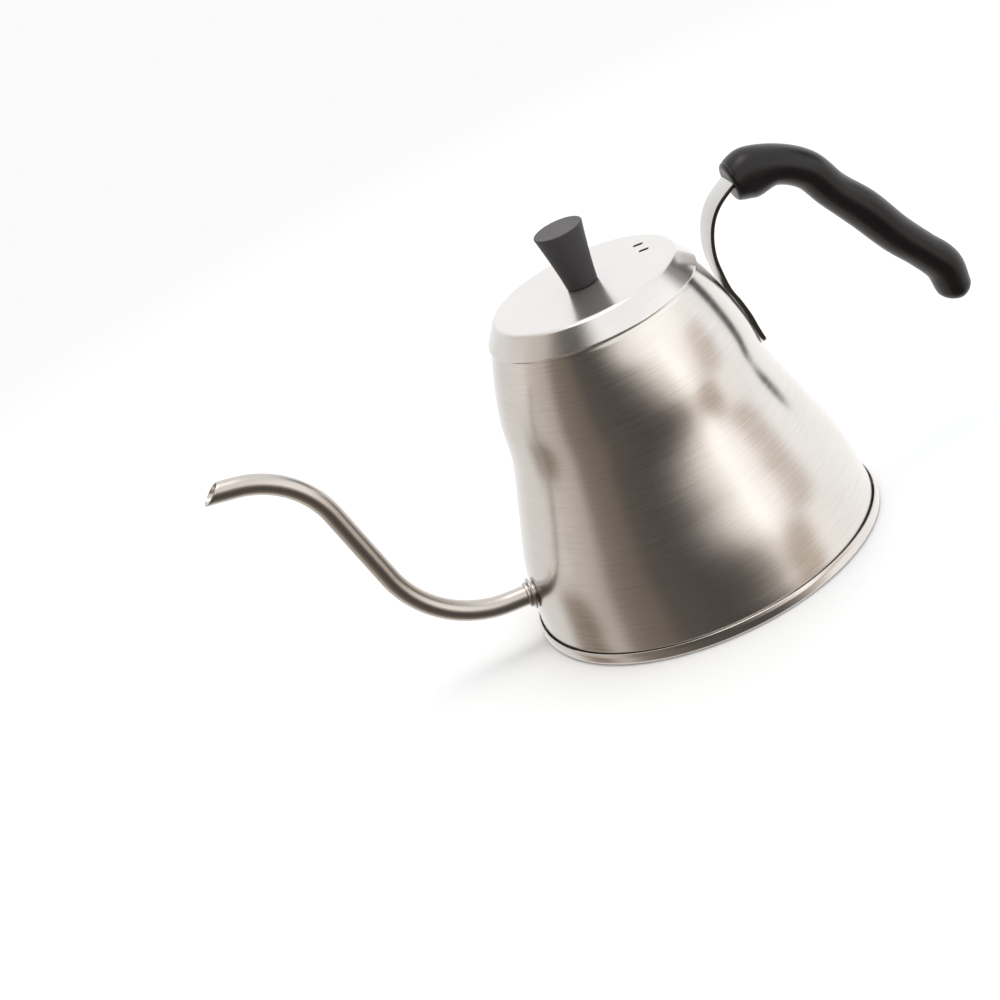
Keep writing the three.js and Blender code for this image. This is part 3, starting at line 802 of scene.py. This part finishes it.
def spout_line():
    """Points and headings of the tube's centre line: straight, bend, straight, bend, straight."""
    spout = settings().spout
    rises = (spout.root_rise, spout.leg_rise, spout.tip_rise)

    def climb(radius, start, end):
        return radius * abs(math.cos(start) - math.cos(end))

    below = (spout.root_height + spout.root_length * math.sin(rises[0])
             + climb(spout.lower_bend, rises[0], rises[1]))
    above = climb(spout.upper_bend, rises[1], rises[2]) + spout.tip_length * math.sin(rises[2])
    leg = (SHELL_TOP + spout.outlet_rise - below - above) / math.sin(rises[1])

    def heading(rise):
        return Vector((-math.cos(rise), 0, math.sin(rise)))

    place = spout_root().translation - heading(rises[0]) * spout.inside
    line = []

    def straight(distance, rise, steps):
        nonlocal place
        for k in range(steps):
            line.append((place + heading(rise) * (distance * k / steps), rise))
        place = place + heading(rise) * distance

    def bend(radius, start, end, steps):
        nonlocal place
        sense = 1 if end > start else -1
        for k in range(steps):
            rise = start + (end - start) * k / steps
            run = radius * (math.sin(rise) - math.sin(start)) * sense
            climbed = radius * (math.cos(start) - math.cos(rise)) * sense
            line.append((place + Vector((-run, 0, climbed)), rise))
        run = radius * (math.sin(end) - math.sin(start)) * sense
        place = place + Vector((-run, 0, radius * (math.cos(start) - math.cos(end)) * sense))

    straight(spout.root_length + spout.inside, rises[0], 6)
    bend(spout.lower_bend, rises[0], rises[1], 40)
    straight(leg, rises[1], 10)
    bend(spout.upper_bend, rises[1], rises[2], 36)
    straight(spout.tip_length, rises[2], 4)
    line.append((place, rises[2]))
    return line


def make_spout_tube():
    spout = settings().spout
    line = spout_line()

    def ring(place, rise, radius, slant=0.0, shift=0.0):
        """slant leans the ring: its upper edge moves back along the tube by that share of the radius."""
        heading = Vector((-math.cos(rise), 0, math.sin(rise)))
        up = Vector((math.sin(rise), 0, math.cos(rise)))
        return place + heading * shift, (up - heading * slant) * radius, ACROSS * radius

    end, tip_rise = line[-1]
    slant = math.tan(math.pi / 2 - (spout.cut + tip_rise))
    outer, inner = spout.radius, spout.radius - spout.wall
    middle = (outer + inner) / 2
    soft = spout.wall * 0.3
    lean_steps = 5
    body, (start, _) = line[:-lean_steps], line[-lean_steps]

    def leaning(radius):
        """The last straight's rings lean more and more towards the outlet's slant."""
        shares = [k / lean_steps for k in range(lean_steps)]
        return [ring(start.lerp(end, s), tip_rise, radius, slant * s) for s in shares]

    lip = (
        (outer, soft), (outer - 0.3 * soft, 0.25 * soft), (middle, 0.0),
        (inner + 0.3 * soft, 0.25 * soft), (inner, soft),
    )
    rings = [ring(place, rise, outer) for place, rise in body]
    rings += leaning(outer)
    rings += [ring(end, tip_rise, radius, slant, -back) for radius, back in lip]
    rings += reversed(leaning(inner))
    rings += [ring(place, rise, inner) for place, rise in reversed(body)]
    rings.append(ring(*body[0], middle, shift=-0.5 * soft))
    rings.append(ring(*body[0], outer))
    tube = skinned("spout_pipe", rings, FINISHES["spout"], sides=spout.sides)
    finished(tube, "kettle", "spout_steel", "spout_tube")


def make_spout_rings():
    spout = settings().spout
    axis = spout_root()
    bore = spout.radius + GAP * 0.5
    wide = spout.radius + GAP + spout.flange_width
    bulge = wide ** 2 / (2 * body_radius(spout.root_height))
    low = GAP + bulge
    high = low + spout.flange_thickness
    profile = ring_outline(bore, wide, low, high, 0.35 * MM)
    flange = turned("spout_flange_ring", profile, FINISHES["spout"], sides=spout.sides, axis=axis)
    finished(flange, "kettle", "spout_steel", "spout_flange")
    start = high + GAP
    bead = spout.radius + GAP + spout.collar_wall
    profile = ring_outline(bore, bead, start, start + spout.collar_length, 0.62 * MM)
    collar = turned("spout_bead", profile, FINISHES["spout"], sides=spout.sides, axis=axis)
    finished(collar, "kettle", "spout_steel", "spout_collar")


# ---------------------------------------------------------------- handle

# Centre line of the grip from its front end, as (x, z) steps, with half its height, in millimetres
GRIP_OUTLINE = [
    (2, -0.9, 8.2), (9.8, -0.7, 10.4), (20.5, -2.6, 8.2), (31.4, -10.4, 7.8), (38.2, -23, 7.6),
    (46.9, -36.4, 8.2), (55.2, -52, 7.9), (62.8, -63.6, 7.5), (68.8, -73.8, 7.8), (69.6, -83, 7.1),
]
# The strap's end inside the grip, from the grip's front end, in millimetres
TANG = [(-1.2, -1.5), (5, 0.9), (12, 1.2), (19.5, -1.1), (26, -5.4)]
# The strap's curl over to the grip: share of the way out, and millimetres below the grip's front end
STRAP_CURL = [(0.12, 16.2), (0.31, 9.9), (0.56, 5.3)]
STRAP_FOOT_POINTS = 5  # points of its centre line up the shell


def grip_start():
    handle = settings().handle
    return Vector((handle.grip_front, 0, SHELL_TOP + handle.grip_rise))


def strap_points():
    """The strap's centre line: up the shell, past the lid and out into the grip."""
    handle = settings().handle
    half = handle.strap_thickness / 2
    leave = SHELL_TOP - handle.leave_drop
    foot = SHELL_TOP - handle.foot_drop
    points = []
    for k in range(STRAP_FOOT_POINTS):
        height = foot + (leave - foot) * k / (STRAP_FOOT_POINTS - 1)
        points.append(Vector((body_radius(height) + GAP + half, 0, height)))
    start = grip_start()
    free = SKIRT_RADIUS + handle.lid_gap + half  # upright stretch past the lid
    rise = start.z - leave
    points.append(Vector((free, 0, leave + 0.2 * rise)))
    points.append(Vector((free + 0.15 * MM, 0, leave + 0.38 * rise)))
    reach = handle.grip_front - free
    for out, drop in STRAP_CURL:
        points.append(Vector((free + out * reach, 0, start.z - drop * MM)))
    points += [start + Vector((x, 0, z)) * MM for x, z in TANG]
    return points


def slab_outline(thickness, width, edge, steps=4):
    """Corners of a rounded slab: x across its thickness, y across its width."""
    corners = [(1, -1), (1, 1), (-1, 1), (-1, -1)]
    outline = []
    for turn, (sx, sy) in enumerate(corners):
        centre = (sx * (thickness / 2 - edge), sy * (width / 2 - edge))
        for k in range(steps + 1):
            t = math.pi / 2 * (turn - 1 + k / steps)
            outline.append((centre[0] + edge * math.cos(t), centre[1] + edge * math.sin(t)))
    return outline


def strap_rings(curve, end_corner):
    """Rings along the strap's centre line; the first end's corners are rounded in plan."""
    headings = tangents(curve)
    width = settings().handle.strap_width
    rings = []
    run = 0.0
    for i, (place, heading) in enumerate(zip(curve, headings)):
        run += (place - curve[i - 1]).length if i else 0
        up = heading.cross(ACROSS)
        narrow = 1.0
        if end_corner and run < end_corner:
            dip = end_corner - math.sqrt(max(0, end_corner ** 2 - (end_corner - run) ** 2))
            narrow = 1 - 2 * dip / width
        rings.append((place, up, ACROSS * narrow))
    rings.insert(0, (curve[0], NOTHING, NOTHING))
    rings.append((curve[-1], NOTHING, NOTHING))
    return rings


STRAP_STEPS = 220


def make_strap():
    handle = settings().handle
    points = strap_points()
    curve = catmull(points, STRAP_STEPS)
    finer = 12  # rings over the first two steps, where the corners are rounded
    curve = [*(curve[0].lerp(curve[2], k / finer) for k in range(finer)), *curve[2:]]
    section = outline_object("section", slab_outline(handle.strap_thickness, handle.strap_width, 0.35 * MM))
    strap = skinned(
        "handle_band", strap_rings(curve, handle.strap_corner), FINISHES["strap"], section=section,
    )
    finished(strap, "kettle", "strap_steel", "handle_strap")
    make_weld_spots(points)


# A spot weld's raised rim: radius, and height over the strap's face, in millimetres
WELD_FORM = [(0, 0.02), (1.1, 0.02), (1.5, 0.14), (1.75, 0.16), (2.05, 0.05), (2.1, -0.25), (0, -0.25)]


def make_weld_spots(points):
    """Shallow spot welds down the strap's foot."""
    handle = settings().handle
    spots = handle.weld_spots
    profile = filleted([(r * MM, z * MM, 0.3 * MM) for r, z in WELD_FORM])
    foot, leave = points[0].z, points[STRAP_FOOT_POINTS - 1].z
    for k in range(spots):
        height = foot + (k + 0.75) / (spots + 0.6) * (leave - foot)
        near = 0.5 * MM
        slope = (body_radius(height + near) - body_radius(height - near)) / (2 * near)
        outward = Vector((1, 0, -slope)).normalized()
        face = body_radius(height) + GAP + handle.strap_thickness
        axis = Matrix.Translation((face, 0, height)) @ outward.to_track_quat("Z", "Y").to_matrix().to_4x4()
        piece = turned(f"weld_spot_{k + 1}", profile, FINISHES["strap"], sides=40, axis=axis)
        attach(piece, "kettle")


# Rounding of the grip's ends, in millimetres
GRIP_FRONT_ROUND = 1.9
GRIP_FRONT_REACH = 1.0  # the front end stands this far before the outline's first point
GRIP_REAR_ROUND = 5.6


def grip_rings():
    """Rings along the grip, with a rounded front edge and a domed rear end."""
    handle = settings().handle
    start = grip_start()
    steps = 150
    front_steps, rear_steps = 8, 14
    centres = catmull([start + Vector((x, 0, z)) * MM for x, z, _ in GRIP_OUTLINE], steps)
    halves = catmull([(i, half) for i, (_, _, half) in enumerate(GRIP_OUTLINE)], steps, power=0)
    headings = tangents(centres)

    def ring(i, shift=0.0, shrink=0.0):
        up = headings[i].cross(ACROSS)
        return (
            centres[i] + headings[i] * shift, up * (halves[i].y * MM - shrink),
            ACROSS * (handle.half_width - shrink),
        )

    rings = []
    front = GRIP_FRONT_ROUND * MM
    for k in range(front_steps + 1):
        turn = math.pi / 2 * k / front_steps
        shift = front * (1 - math.cos(turn)) - GRIP_FRONT_REACH * MM
        rings.append(ring(0, shift, front * (1 - math.sin(turn))))
    rings.insert(0, (rings[0][0], NOTHING, NOTHING))
    past_rounding = 3
    rings += [ring(i) for i in range(past_rounding, steps + 1)]
    radius = halves[-1].y * MM
    for k in range(1, rear_steps + 1):
        turn = math.pi / 2 * k / rear_steps
        rings.append(ring(steps, GRIP_REAR_ROUND * MM * math.sin(turn), radius * (1 - math.cos(turn))))
    rings[-1] = (rings[-1][0], NOTHING, NOTHING)
    return rings


def make_grip():
    """The grip, hollowed for the strap's end, the screw with its washer and the insert."""
    handle = settings().handle
    skin = skinned("grip_moulding", grip_rings(), FINISHES["grip"], sides=72)
    before_front = 9 * MM  # the pocket's cutter starts well outside the grip
    tang = [p for p in catmull(strap_points(), STRAP_STEPS) if p.x > handle.grip_front - before_front]
    tang.append(tang[-1] + (tang[-1] - tang[-2]).normalized() * GAP)
    section = outline_object("section", slab_outline(
        handle.strap_thickness + 2 * GAP, handle.strap_width + 2 * GAP, 0.4 * MM,
    ))
    pocket = skinned("pocket", strap_rings(tang, 0), FINISHES["grip"], section=section)
    at = Matrix.Translation((grip_start().x + handle.screw_place, 0, 0))

    def hollow(name, radius, low, high, sides=32):
        return rod(name, radius, low, high, FINISHES["grip"], sides, at)

    washer_top = node_high("grip_washer").z
    screw_low, screw_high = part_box("grip_screw")
    insert_low, insert_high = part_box("grip_insert")
    head = (screw_high.y - screw_low.y) / 2 + 2 * GAP
    well = hollow("well", head, screw_low.z - 6 * MM, washer_top + GAP, sides=48)
    bolt = hollow("bolt", SCREW_HOLE, washer_top, insert_low.z)
    nest = hollow("nest", insert_high.y + GAP, insert_low.z - 2 * GAP, insert_high.z + GAP)
    carved(skin, pocket, well, bolt, nest)
    finished(skin, "kettle", "grip_black", "grip")


# ---------------------------------------------------------------- screws and washers

THREAD_PITCH = 0.7 * MM
THREAD_DEPTH = 0.3 * MM
RECESS = (1.9 * MM, 0.42 * MM, 1.3 * MM)  # half length and half width of each arm, and depth


def make_screw(name, node, material, body, slot, head_height):
    """A pan-head screw, head down, with a crossed recess and ridged shank."""
    low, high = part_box(node)
    centre = (low + high) / 2
    at = Matrix.Translation((centre.x, 0, 0))
    head = high.y
    neck = low.z + head_height
    crown = 0.55  # share of the head's radius that is flat, and of its height where the rim starts
    plain = 0.6 * MM  # shank without ridges at each end
    profile = [
        (0, low.z), (head * crown, low.z, 0.6 * MM), (head, low.z + head_height * crown, 0.8 * MM),
        (head, neck, 0.2 * MM), (SCREW_RADIUS, neck),
    ]
    height = neck + plain
    while height + THREAD_PITCH < high.z - plain:
        profile += [(SCREW_RADIUS, height), (SCREW_RADIUS - THREAD_DEPTH, height + THREAD_PITCH / 2)]
        height += THREAD_PITCH
    profile += [(SCREW_RADIUS - 0.1 * MM, height), (SCREW_RADIUS - 0.5 * MM, high.z), (0, high.z)]
    screw = turned(name, filleted(profile), material, sides=48, axis=at)
    long, short, deep = RECESS
    slots = []
    for dx, dy in ((long, short), (short, long)):
        below = (centre.x - dx, -dy, low.z - 1 * MM)
        slots.append(block("recess", below, (centre.x + dx, dy, low.z + deep), material))
    carved(screw, *slots)
    finished(screw, body, slot, node)


def make_fixings():
    steel = FINISHES["screw"]
    make_screw("grip_fixing_screw", "grip_screw", steel, "kettle", "screw_steel", 2.2 * MM)
    make_screw("knob_fixing_screw", "knob_screw", steel, "lid", "screw_steel", 2.4 * MM)
    low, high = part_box("knob_washer")
    profile = ring_outline(SCREW_HOLE, high.y, low.z, high.z, 0.22 * MM)
    washer = turned("knob_flat_washer", profile, steel, sides=64)
    finished(washer, "lid", "screw_steel", "knob_washer")


# ---------------------------------------------------------------- lid

def lid_profile():
    """Outline of the pressed lid: hem, sloping skirt, shoulder and flat top, then the same inside."""
    lid = settings().lid
    flat = SKIRT_RADIUS - lid.slope - lid.shoulder
    hem = LID_EDGE + lid.hem
    slope = math.atan2(LID_TOP - lid.shoulder - hem, lid.slope)
    lean = math.pi / 2 - slope
    centre = (flat, LID_TOP - lid.shoulder)

    def arc(radius, start, end, steps):
        turns = [start + (end - start) * k / steps for k in range(steps + 1)]
        return [(centre[0] + radius * math.cos(t), centre[1] + radius * math.sin(t)) for t in turns]

    shoulder = arc(lid.shoulder, lean, math.pi / 2, 14)
    inside = arc(lid.shoulder - lid.wall, math.pi / 2, lean, 10)
    inner = SKIRT_RADIUS - lid.wall
    soft, bend = 0.3 * MM, 0.8 * MM
    bottom = (SKIRT_RADIUS - lid.wall / 2, LID_EDGE)
    skirt = filleted([bottom, (SKIRT_RADIUS, LID_EDGE, soft), (SKIRT_RADIUS, hem, bend), shoulder[0]])
    lining = filleted([inside[-1], (inner, hem - soft, bend), (inner, LID_EDGE, soft), bottom])
    return [
        *skirt, *shoulder[1:], (flat - soft, LID_TOP), (0, LID_TOP), (0, LID_TOP - lid.wall),
        *inside, *lining[1:],
    ]


# Millimetres over the lid's face, with the slot's size there as shares along and across it
SLOT_FORM = [(-4, 0, 0), (-4, 1, 1), (-0.42, 1, 1), (0.02, 0.98, 1.45), (2, 0.98, 1.45), (2, 0, 0)]


def vent_cutter(side):
    """A round-ended slot whose rim widens across it at the lid's face; its faces carry the near-black slot
    material, so the vent walls it cuts are painted dark as painted shade.
    """
    lid = settings().lid
    reach = SKIRT_RADIUS - lid.slope - lid.shoulder - lid.vent_inset
    x = reach * math.cos(lid.vent_bearing)
    y = reach * math.sin(lid.vent_bearing) + side * lid.vent_pitch / 2
    radius = lid.vent_width / 2
    half = (lid.vent_length - lid.vent_width) / 2
    outline = []
    for end in (1, -1):
        for k in range(13):
            t = math.pi * k / 12 - end * math.pi / 2
            outline.append((end * half + radius * math.cos(t), radius * math.sin(t)))
    section = outline_object("section", outline)
    turn = Matrix.Rotation(lid.vent_turn, 3, "Z")
    rings = []
    for height, along, across in SLOT_FORM:
        centre = Vector((x, y, LID_TOP + height * MM))
        rings.append((centre, turn @ Vector((along, 0, 0)), turn @ Vector((0, across, 0))))
    return skinned("slot", rings, FINISHES["slot"], section=section)


def make_lid_cap():
    cap = turned("lid_cover", lid_profile(), FINISHES["lid"])
    bore = rod("bore", SCREW_HOLE, LID_TOP - 4 * MM, LID_TOP + 2 * MM, FINISHES["lid"], 32)
    carved(cap, bore, vent_cutter(1), vent_cutter(-1))
    finished(cap, "lid", "satin_steel", "lid_cap")


def make_lid_plug():
    wall = settings().lid.plug_wall
    low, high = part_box("lid_plug")
    bore = radius_at("lid_plug", low.z) - wall
    profile = collar_outline(bore, high.y, wall, low.z, high.z, 0.28 * MM, 0.7 * MM)
    piece = turned("lid_ring", profile, FINISHES["sheet"])
    finished(piece, "lid", "satin_steel", "lid_plug")


KNOB_FLARE = 1.25  # how much faster the knob widens towards its top


def make_knob():
    """The knob, hollowed from below for its insert."""
    base = settings().lid.knob_base
    low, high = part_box("lid_knob")
    top = high.y
    height = high.z - low.z
    shares = [0.05 + 0.9 * k / 26 for k in range(27)]
    flare = [(base + (top - base) * s ** KNOB_FLARE, low.z + s * height) for s in shares]
    insert = node_high("knob_insert")
    pocket, deep = insert.y + GAP, insert.z + GAP
    soft = 0.2 * MM
    profile = filleted([
        (0, deep), (pocket, deep, soft), (pocket, low.z, soft), (base, low.z, 0.5 * MM), *flare,
        (top, high.z, 0.75 * MM), (0, high.z),
    ], steps=6)
    knob = turned("lid_knob_moulding", profile, FINISHES["knob"], sides=128)
    finished(knob, "lid", "knob_black", "lid_knob")


# ---------------------------------------------------------------- stage

CAMERA_AZIMUTH, CAMERA_ELEVATION, CAMERA_ROLL = -3.0, 22.95, -26.4
FOCAL_SHARE = 2.499  # focal length over the frame's width
CAMERA_PLACE = Vector((-0.1154, -0.9239, 0.4576))


def make_camera():
    azimuth, elevation, roll = map(math.radians, (CAMERA_AZIMUTH, CAMERA_ELEVATION, CAMERA_ROLL))
    level = Vector((math.sin(azimuth), -math.cos(azimuth), 0))
    back = level * math.cos(elevation) + Vector((0, 0, math.sin(elevation)))
    right = Vector((0, 0, 1)).cross(back).normalized()
    up = back.cross(right)
    right, up = (
        right * math.cos(roll) + up * math.sin(roll),
        up * math.cos(roll) - right * math.sin(roll),
    )
    lens = bpy.data.cameras.new("studio_camera")
    lens.sensor_width = 36
    lens.lens = 36 * FOCAL_SHARE
    lens.clip_start, lens.clip_end = 0.02, 50
    camera = linked("studio_camera", lens)
    turn = Matrix((right, up, back)).transposed().to_4x4()
    camera.matrix_world = Matrix.Translation(CAMERA_PLACE) @ turn
    bpy.context.scene.camera = camera


# Colour of the studio around the kettle by bearing in degrees: 0 faces its front, 90 its handle
SURROUNDINGS = [
    (-180, (1.06, 1.06, 1.06)), (-162, (0.94, 0.93, 0.92)), (-145, (0.83, 0.81, 0.79)),
    (-128, (0.85, 0.82, 0.78)), (-112, (0.92, 0.87, 0.82)), (-98, (0.68, 0.62, 0.56)),
    (-84, (0.58, 0.52, 0.46)), (-72, (0.25, 0.21, 0.175)), (-56, (0.20, 0.165, 0.135)),
    (-42, (0.11, 0.095, 0.085)), (-16, (0.085, 0.076, 0.07)), (0, (0.12, 0.105, 0.095)),
    (12, (0.30, 0.265, 0.235)), (25, (0.80, 0.74, 0.68)), (38, (1.20, 1.16, 1.11)), (54, (1.14, 1.10, 1.06)),
    (76, (1.10, 1.08, 1.06)), (100, (1.15, 1.14, 1.13)), (130, (1.16, 1.15, 1.14)), (180, (1.06, 1.06, 1.06)),
]

# Soft flags and fills in the studio: bearing, elevation, half width, half height in degrees, and their tint
FLAGS = [
    (50, -15, 13, 12, (0.50, 0.43, 0.37)), (-108, -21, 16, 16, (0.34, 0.29, 0.25)),
    (68, 3, 15, 8, (0.62, 0.55, 0.50)), (-47, 48, 25, 18, (0.14, 0.125, 0.11)),
    (113, 22, 20, 14, (0.15, 0.13, 0.12)), (-122, 40, 26, 24, (0.80, 0.78, 0.76)),
    (50, 20, 40, 16, (1.22, 1.22, 1.22)), (36, -2, 9, 18, (1.16, 1.16, 1.16)),
]

CEILING = (1.12, 1.1, 1.08)
SOFTBOX = (4.2, 3.95, 3.8)  # straight above
BACKDROP = (0.96, 0.96, 0.96)


def make_world():
    """The surroundings that the steel shows; a camera sees only the plain pale backdrop."""
    world = bpy.data.worlds.new("studio")
    bpy.context.scene.world = world
    world.use_nodes = True
    tree = world.node_tree
    tree.nodes.clear()

    def maths(operation, *values):
        return maths_in(tree, operation, *values)

    direction = node_in(tree, "ShaderNodeTexCoord").outputs["Generated"]
    axes = node_in(tree, "ShaderNodeSeparateXYZ", {0: direction}).outputs
    bearing = maths("DEGREES", maths("ARCTAN2", axes["X"], maths("MULTIPLY", axes["Y"], -1)))
    rise = maths("DEGREES", maths("ARCSINE", axes["Z"]))
    # The bright side leans over the dark middle as it rises, and faster from 8 degrees up
    high = maths("MAXIMUM", maths("SUBTRACT", rise, 8), 0)
    curved = maths("MULTIPLY", maths("MULTIPLY", high, high), 0.07)
    slant = maths("ADD", maths("MULTIPLY", rise, 0.8), curved)
    lean = maths("MULTIPLY", slant, ranged(tree, bearing, 0, 1, -60, 0))
    place = ranged(tree, maths("ADD", bearing, lean), 0, 1, -180, 180)
    ramp = node_in(tree, "ShaderNodeValToRGB", {0: place})
    ramp.color_ramp.interpolation = "EASE"
    stops = ramp.color_ramp.elements
    while len(stops) > 1:
        stops.remove(stops[-1])
    stops[0].position = 0
    stops[0].color = (*SURROUNDINGS[0][1], 1)
    for degrees, tint in SURROUNDINGS[1:]:
        stops.new((degrees + 180) / 360).color = (*tint, 1)

    def squared(value, middle, half):
        share = maths("DIVIDE", maths("SUBTRACT", value, middle), half)
        return maths("MULTIPLY", share, share)

    light = blended(tree, ranged(tree, rise, 0, 1, 50, 74), ramp.outputs[0], CEILING)
    for across, height, half_width, half_height, tint in FLAGS:
        reach = maths("SQRT", maths(
            "ADD", squared(bearing, across, half_width), squared(rise, height, half_height),
        ))
        cover = node_in(tree, "ShaderNodeMapRange", {"Value": reach}, {
            "From Min": 1.4, "From Max": 0.4, "To Min": 0.0, "To Max": 1.0,
        }, interpolation_type="SMOOTHSTEP").outputs[0]
        light = blended(tree, cover, light, tint, mode="MULTIPLY")
    light = blended(tree, ranged(tree, rise, 0, 1, 72, 84), light, SOFTBOX)
    studio = node_in(tree, "ShaderNodeBackground", {"Color": light}, {"Strength": 1.0})
    plain = node_in(tree, "ShaderNodeBackground", values={"Color": (*BACKDROP, 1), "Strength": 1.0})
    seen = node_in(tree, "ShaderNodeLightPath").outputs["Is Camera Ray"]
    mix = node_in(tree, "ShaderNodeMixShader", {0: seen, 1: studio.outputs[0], 2: plain.outputs[0]})
    node_in(tree, "ShaderNodeOutputWorld", {"Surface": mix.outputs[0]})


FLOOR_FADE = (0.25, 0.8)  # distances from the axis where the floor starts and ends its fade


def make_floor():
    """A pale floor that fades into the backdrop away from the kettle."""
    mesh = bpy.data.meshes.new("studio_floor")
    work = bmesh.new()
    bmesh.ops.create_circle(work, cap_ends=True, segments=64, radius=9)
    work.to_mesh(mesh)
    work.free()
    floor = linked("studio_floor", mesh)
    material, tree, shader = new_shader("floor_paint", Roughness=0.9)
    tint = settings().finish.floor
    grain = stretched_noise(tree, (3, 3, 3), detail=2)
    mottled = blended(tree, grain, shaded(tint, 0.99), shaded(tint, 1.01))
    tree.links.new(mottled, shader.inputs["Base Color"])
    shader.inputs["Specular IOR Level"].default_value = 0.1
    place = node_in(tree, "ShaderNodeTexCoord").outputs["Object"]
    reach = node_in(tree, "ShaderNodeVectorMath", {0: place}, operation="LENGTH").outputs["Value"]
    glow = node_in(tree, "ShaderNodeEmission", values={"Color": (*BACKDROP, 1), "Strength": 1.0}).outputs[0]
    fade = ranged(tree, reach, 0, 1, *FLOOR_FADE)
    mix = node_in(tree, "ShaderNodeMixShader", {0: fade, 1: shader.outputs[0], 2: glow})
    end = next(node for node in tree.nodes if node.type == "OUTPUT_MATERIAL")
    tree.links.new(mix.outputs[0], end.inputs["Surface"])
    mesh.materials.append(material)
    mesh.transform(Matrix.Translation((0, 0, -0.1 * MM)))  # just clear of the base
    floor.visible_glossy = False  # the steel shows the studio around it, as when the kettle is held up


# Name, place, size and power of each soft light
LIGHTS = [
    ("soft_overhead", (0.1, 0.15, 1.5), (1.6, 1.6), 9),
    ("soft_back", (0.5, 1.6, 0.9), (1.6, 1.0), 6),
]


def make_lights():
    """Soft lights turned to the middle of the kettle, which the steel doesn't show."""
    middle = Vector((0, 0, 0.07))
    for name, place, size, power in LIGHTS:
        lamp = bpy.data.lights.new(name, "AREA")
        lamp.shape = "RECTANGLE"
        lamp.size, lamp.size_y = size
        lamp.energy = power
        light = linked(name, lamp)
        light.location = place
        light.rotation_mode = "QUATERNION"
        light.rotation_quaternion = (middle - Vector(place)).to_track_quat("-Z", "Y")
        light.visible_glossy = False


# ---------------------------------------------------------------- operators

class KETTLE_OT_finishes(bpy.types.Operator):
    """Make the kettle's materials and dress the CAD nodes that stay"""

    bl_idname = "kettle.finishes"
    bl_label = "Finishes"

    def execute(self, context):
        FINISHES.update(make_finishes())
        stays = {
            "heat_spreader": "aluminium", "grip_washer": "screw", "grip_insert": "brass",
            "knob_insert": "brass", "knob_lock_washer": "screw",
        }
        for node, finish in stays.items():
            dressed(node, FINISHES[finish])
        return {"FINISHED"}


class KETTLE_OT_stage(bpy.types.Operator):
    """Make the camera, the pale floor, the surroundings and the soft lights"""

    bl_idname = "kettle.stage"
    bl_label = "Stage"

    def execute(self, context):
        make_camera()
        make_world()
        make_floor()
        make_lights()
        context.scene.view_settings.view_transform = "Standard"
        return {"FINISHED"}


class KETTLE_OT_base(bpy.types.Operator):
    """Build the base band, the floor pan and the cover under them"""

    bl_idname = "kettle.base"
    bl_label = "Base"

    def execute(self, context):
        make_base_band()
        make_floor_pan()
        make_base_cover()
        return {"FINISHED"}


class KETTLE_OT_body(bpy.types.Operator):
    """Build the bell shell and the ledge in its mouth"""

    bl_idname = "kettle.body"
    bl_label = "Body"

    def execute(self, context):
        make_shell()
        make_mouth_ring()
        return {"FINISHED"}


class KETTLE_OT_spout(bpy.types.Operator):
    """Build the bent tube with its slanted outlet, and the rings at its root"""

    bl_idname = "kettle.spout"
    bl_label = "Spout"

    def execute(self, context):
        make_spout_tube()
        make_spout_rings()
        return {"FINISHED"}


class KETTLE_OT_strap(bpy.types.Operator):
    """Build the steel strap and its spot welds"""

    bl_idname = "kettle.strap"
    bl_label = "Strap"

    def execute(self, context):
        make_strap()
        return {"FINISHED"}


class KETTLE_OT_grip(bpy.types.Operator):
    """Build the moulded grip"""

    bl_idname = "kettle.grip"
    bl_label = "Grip"

    def execute(self, context):
        make_grip()
        return {"FINISHED"}


class KETTLE_OT_fixings(bpy.types.Operator):
    """Build the screws and the plain washer"""

    bl_idname = "kettle.fixings"
    bl_label = "Fixings"

    def execute(self, context):
        make_fixings()
        return {"FINISHED"}


class KETTLE_OT_lid(bpy.types.Operator):
    """Build the lid's cover with its vents, and the ring under it"""

    bl_idname = "kettle.lid"
    bl_label = "Lid"

    def execute(self, context):
        make_lid_cap()
        make_lid_plug()
        return {"FINISHED"}


class KETTLE_OT_knob(bpy.types.Operator):
    """Build the moulded knob"""

    bl_idname = "kettle.knob"
    bl_label = "Knob"

    def execute(self, context):
        make_knob()
        return {"FINISHED"}


STEPS = (
    KETTLE_OT_stage, KETTLE_OT_finishes, KETTLE_OT_base, KETTLE_OT_body, KETTLE_OT_spout, KETTLE_OT_strap,
    KETTLE_OT_grip, KETTLE_OT_fixings, KETTLE_OT_lid, KETTLE_OT_knob,
)


class KETTLE_PT_sidebar(bpy.types.Panel):
    """Buttons and sizes of the kettle"""

    bl_idname = "KETTLE_PT_sidebar"
    bl_label = "Gooseneck kettle"
    bl_space_type = "VIEW_3D"
    bl_region_type = "UI"
    bl_category = "Kettle"

    def draw(self, context):
        for step in STEPS:
            self.layout.operator(step.bl_idname)
        for group in ("body", "spout", "handle", "lid", "finish"):
            box = self.layout.box()
            box.label(text=group.capitalize())
            part = getattr(context.scene.kettle, group)
            for key in part.__annotations__:
                box.prop(part, key)


GROUPS = (BodySettings, SpoutSettings, HandleSettings, LidSettings, FinishSettings, KettleSettings)
CLASSES = (*GROUPS, *STEPS, KETTLE_PT_sidebar)


def register():
    for cls in CLASSES:
        bpy.utils.register_class(cls)
    bpy.types.Scene.kettle = bpy.props.PointerProperty(type=KettleSettings)


def unregister():
    del bpy.types.Scene.kettle
    for cls in reversed(CLASSES):
        bpy.utils.unregister_class(cls)


def main():
    register()
    for step in STEPS:
        group, name = step.bl_idname.split(".")
        getattr(getattr(bpy.ops, group), name)()


if __name__ == "__main__":
    main()
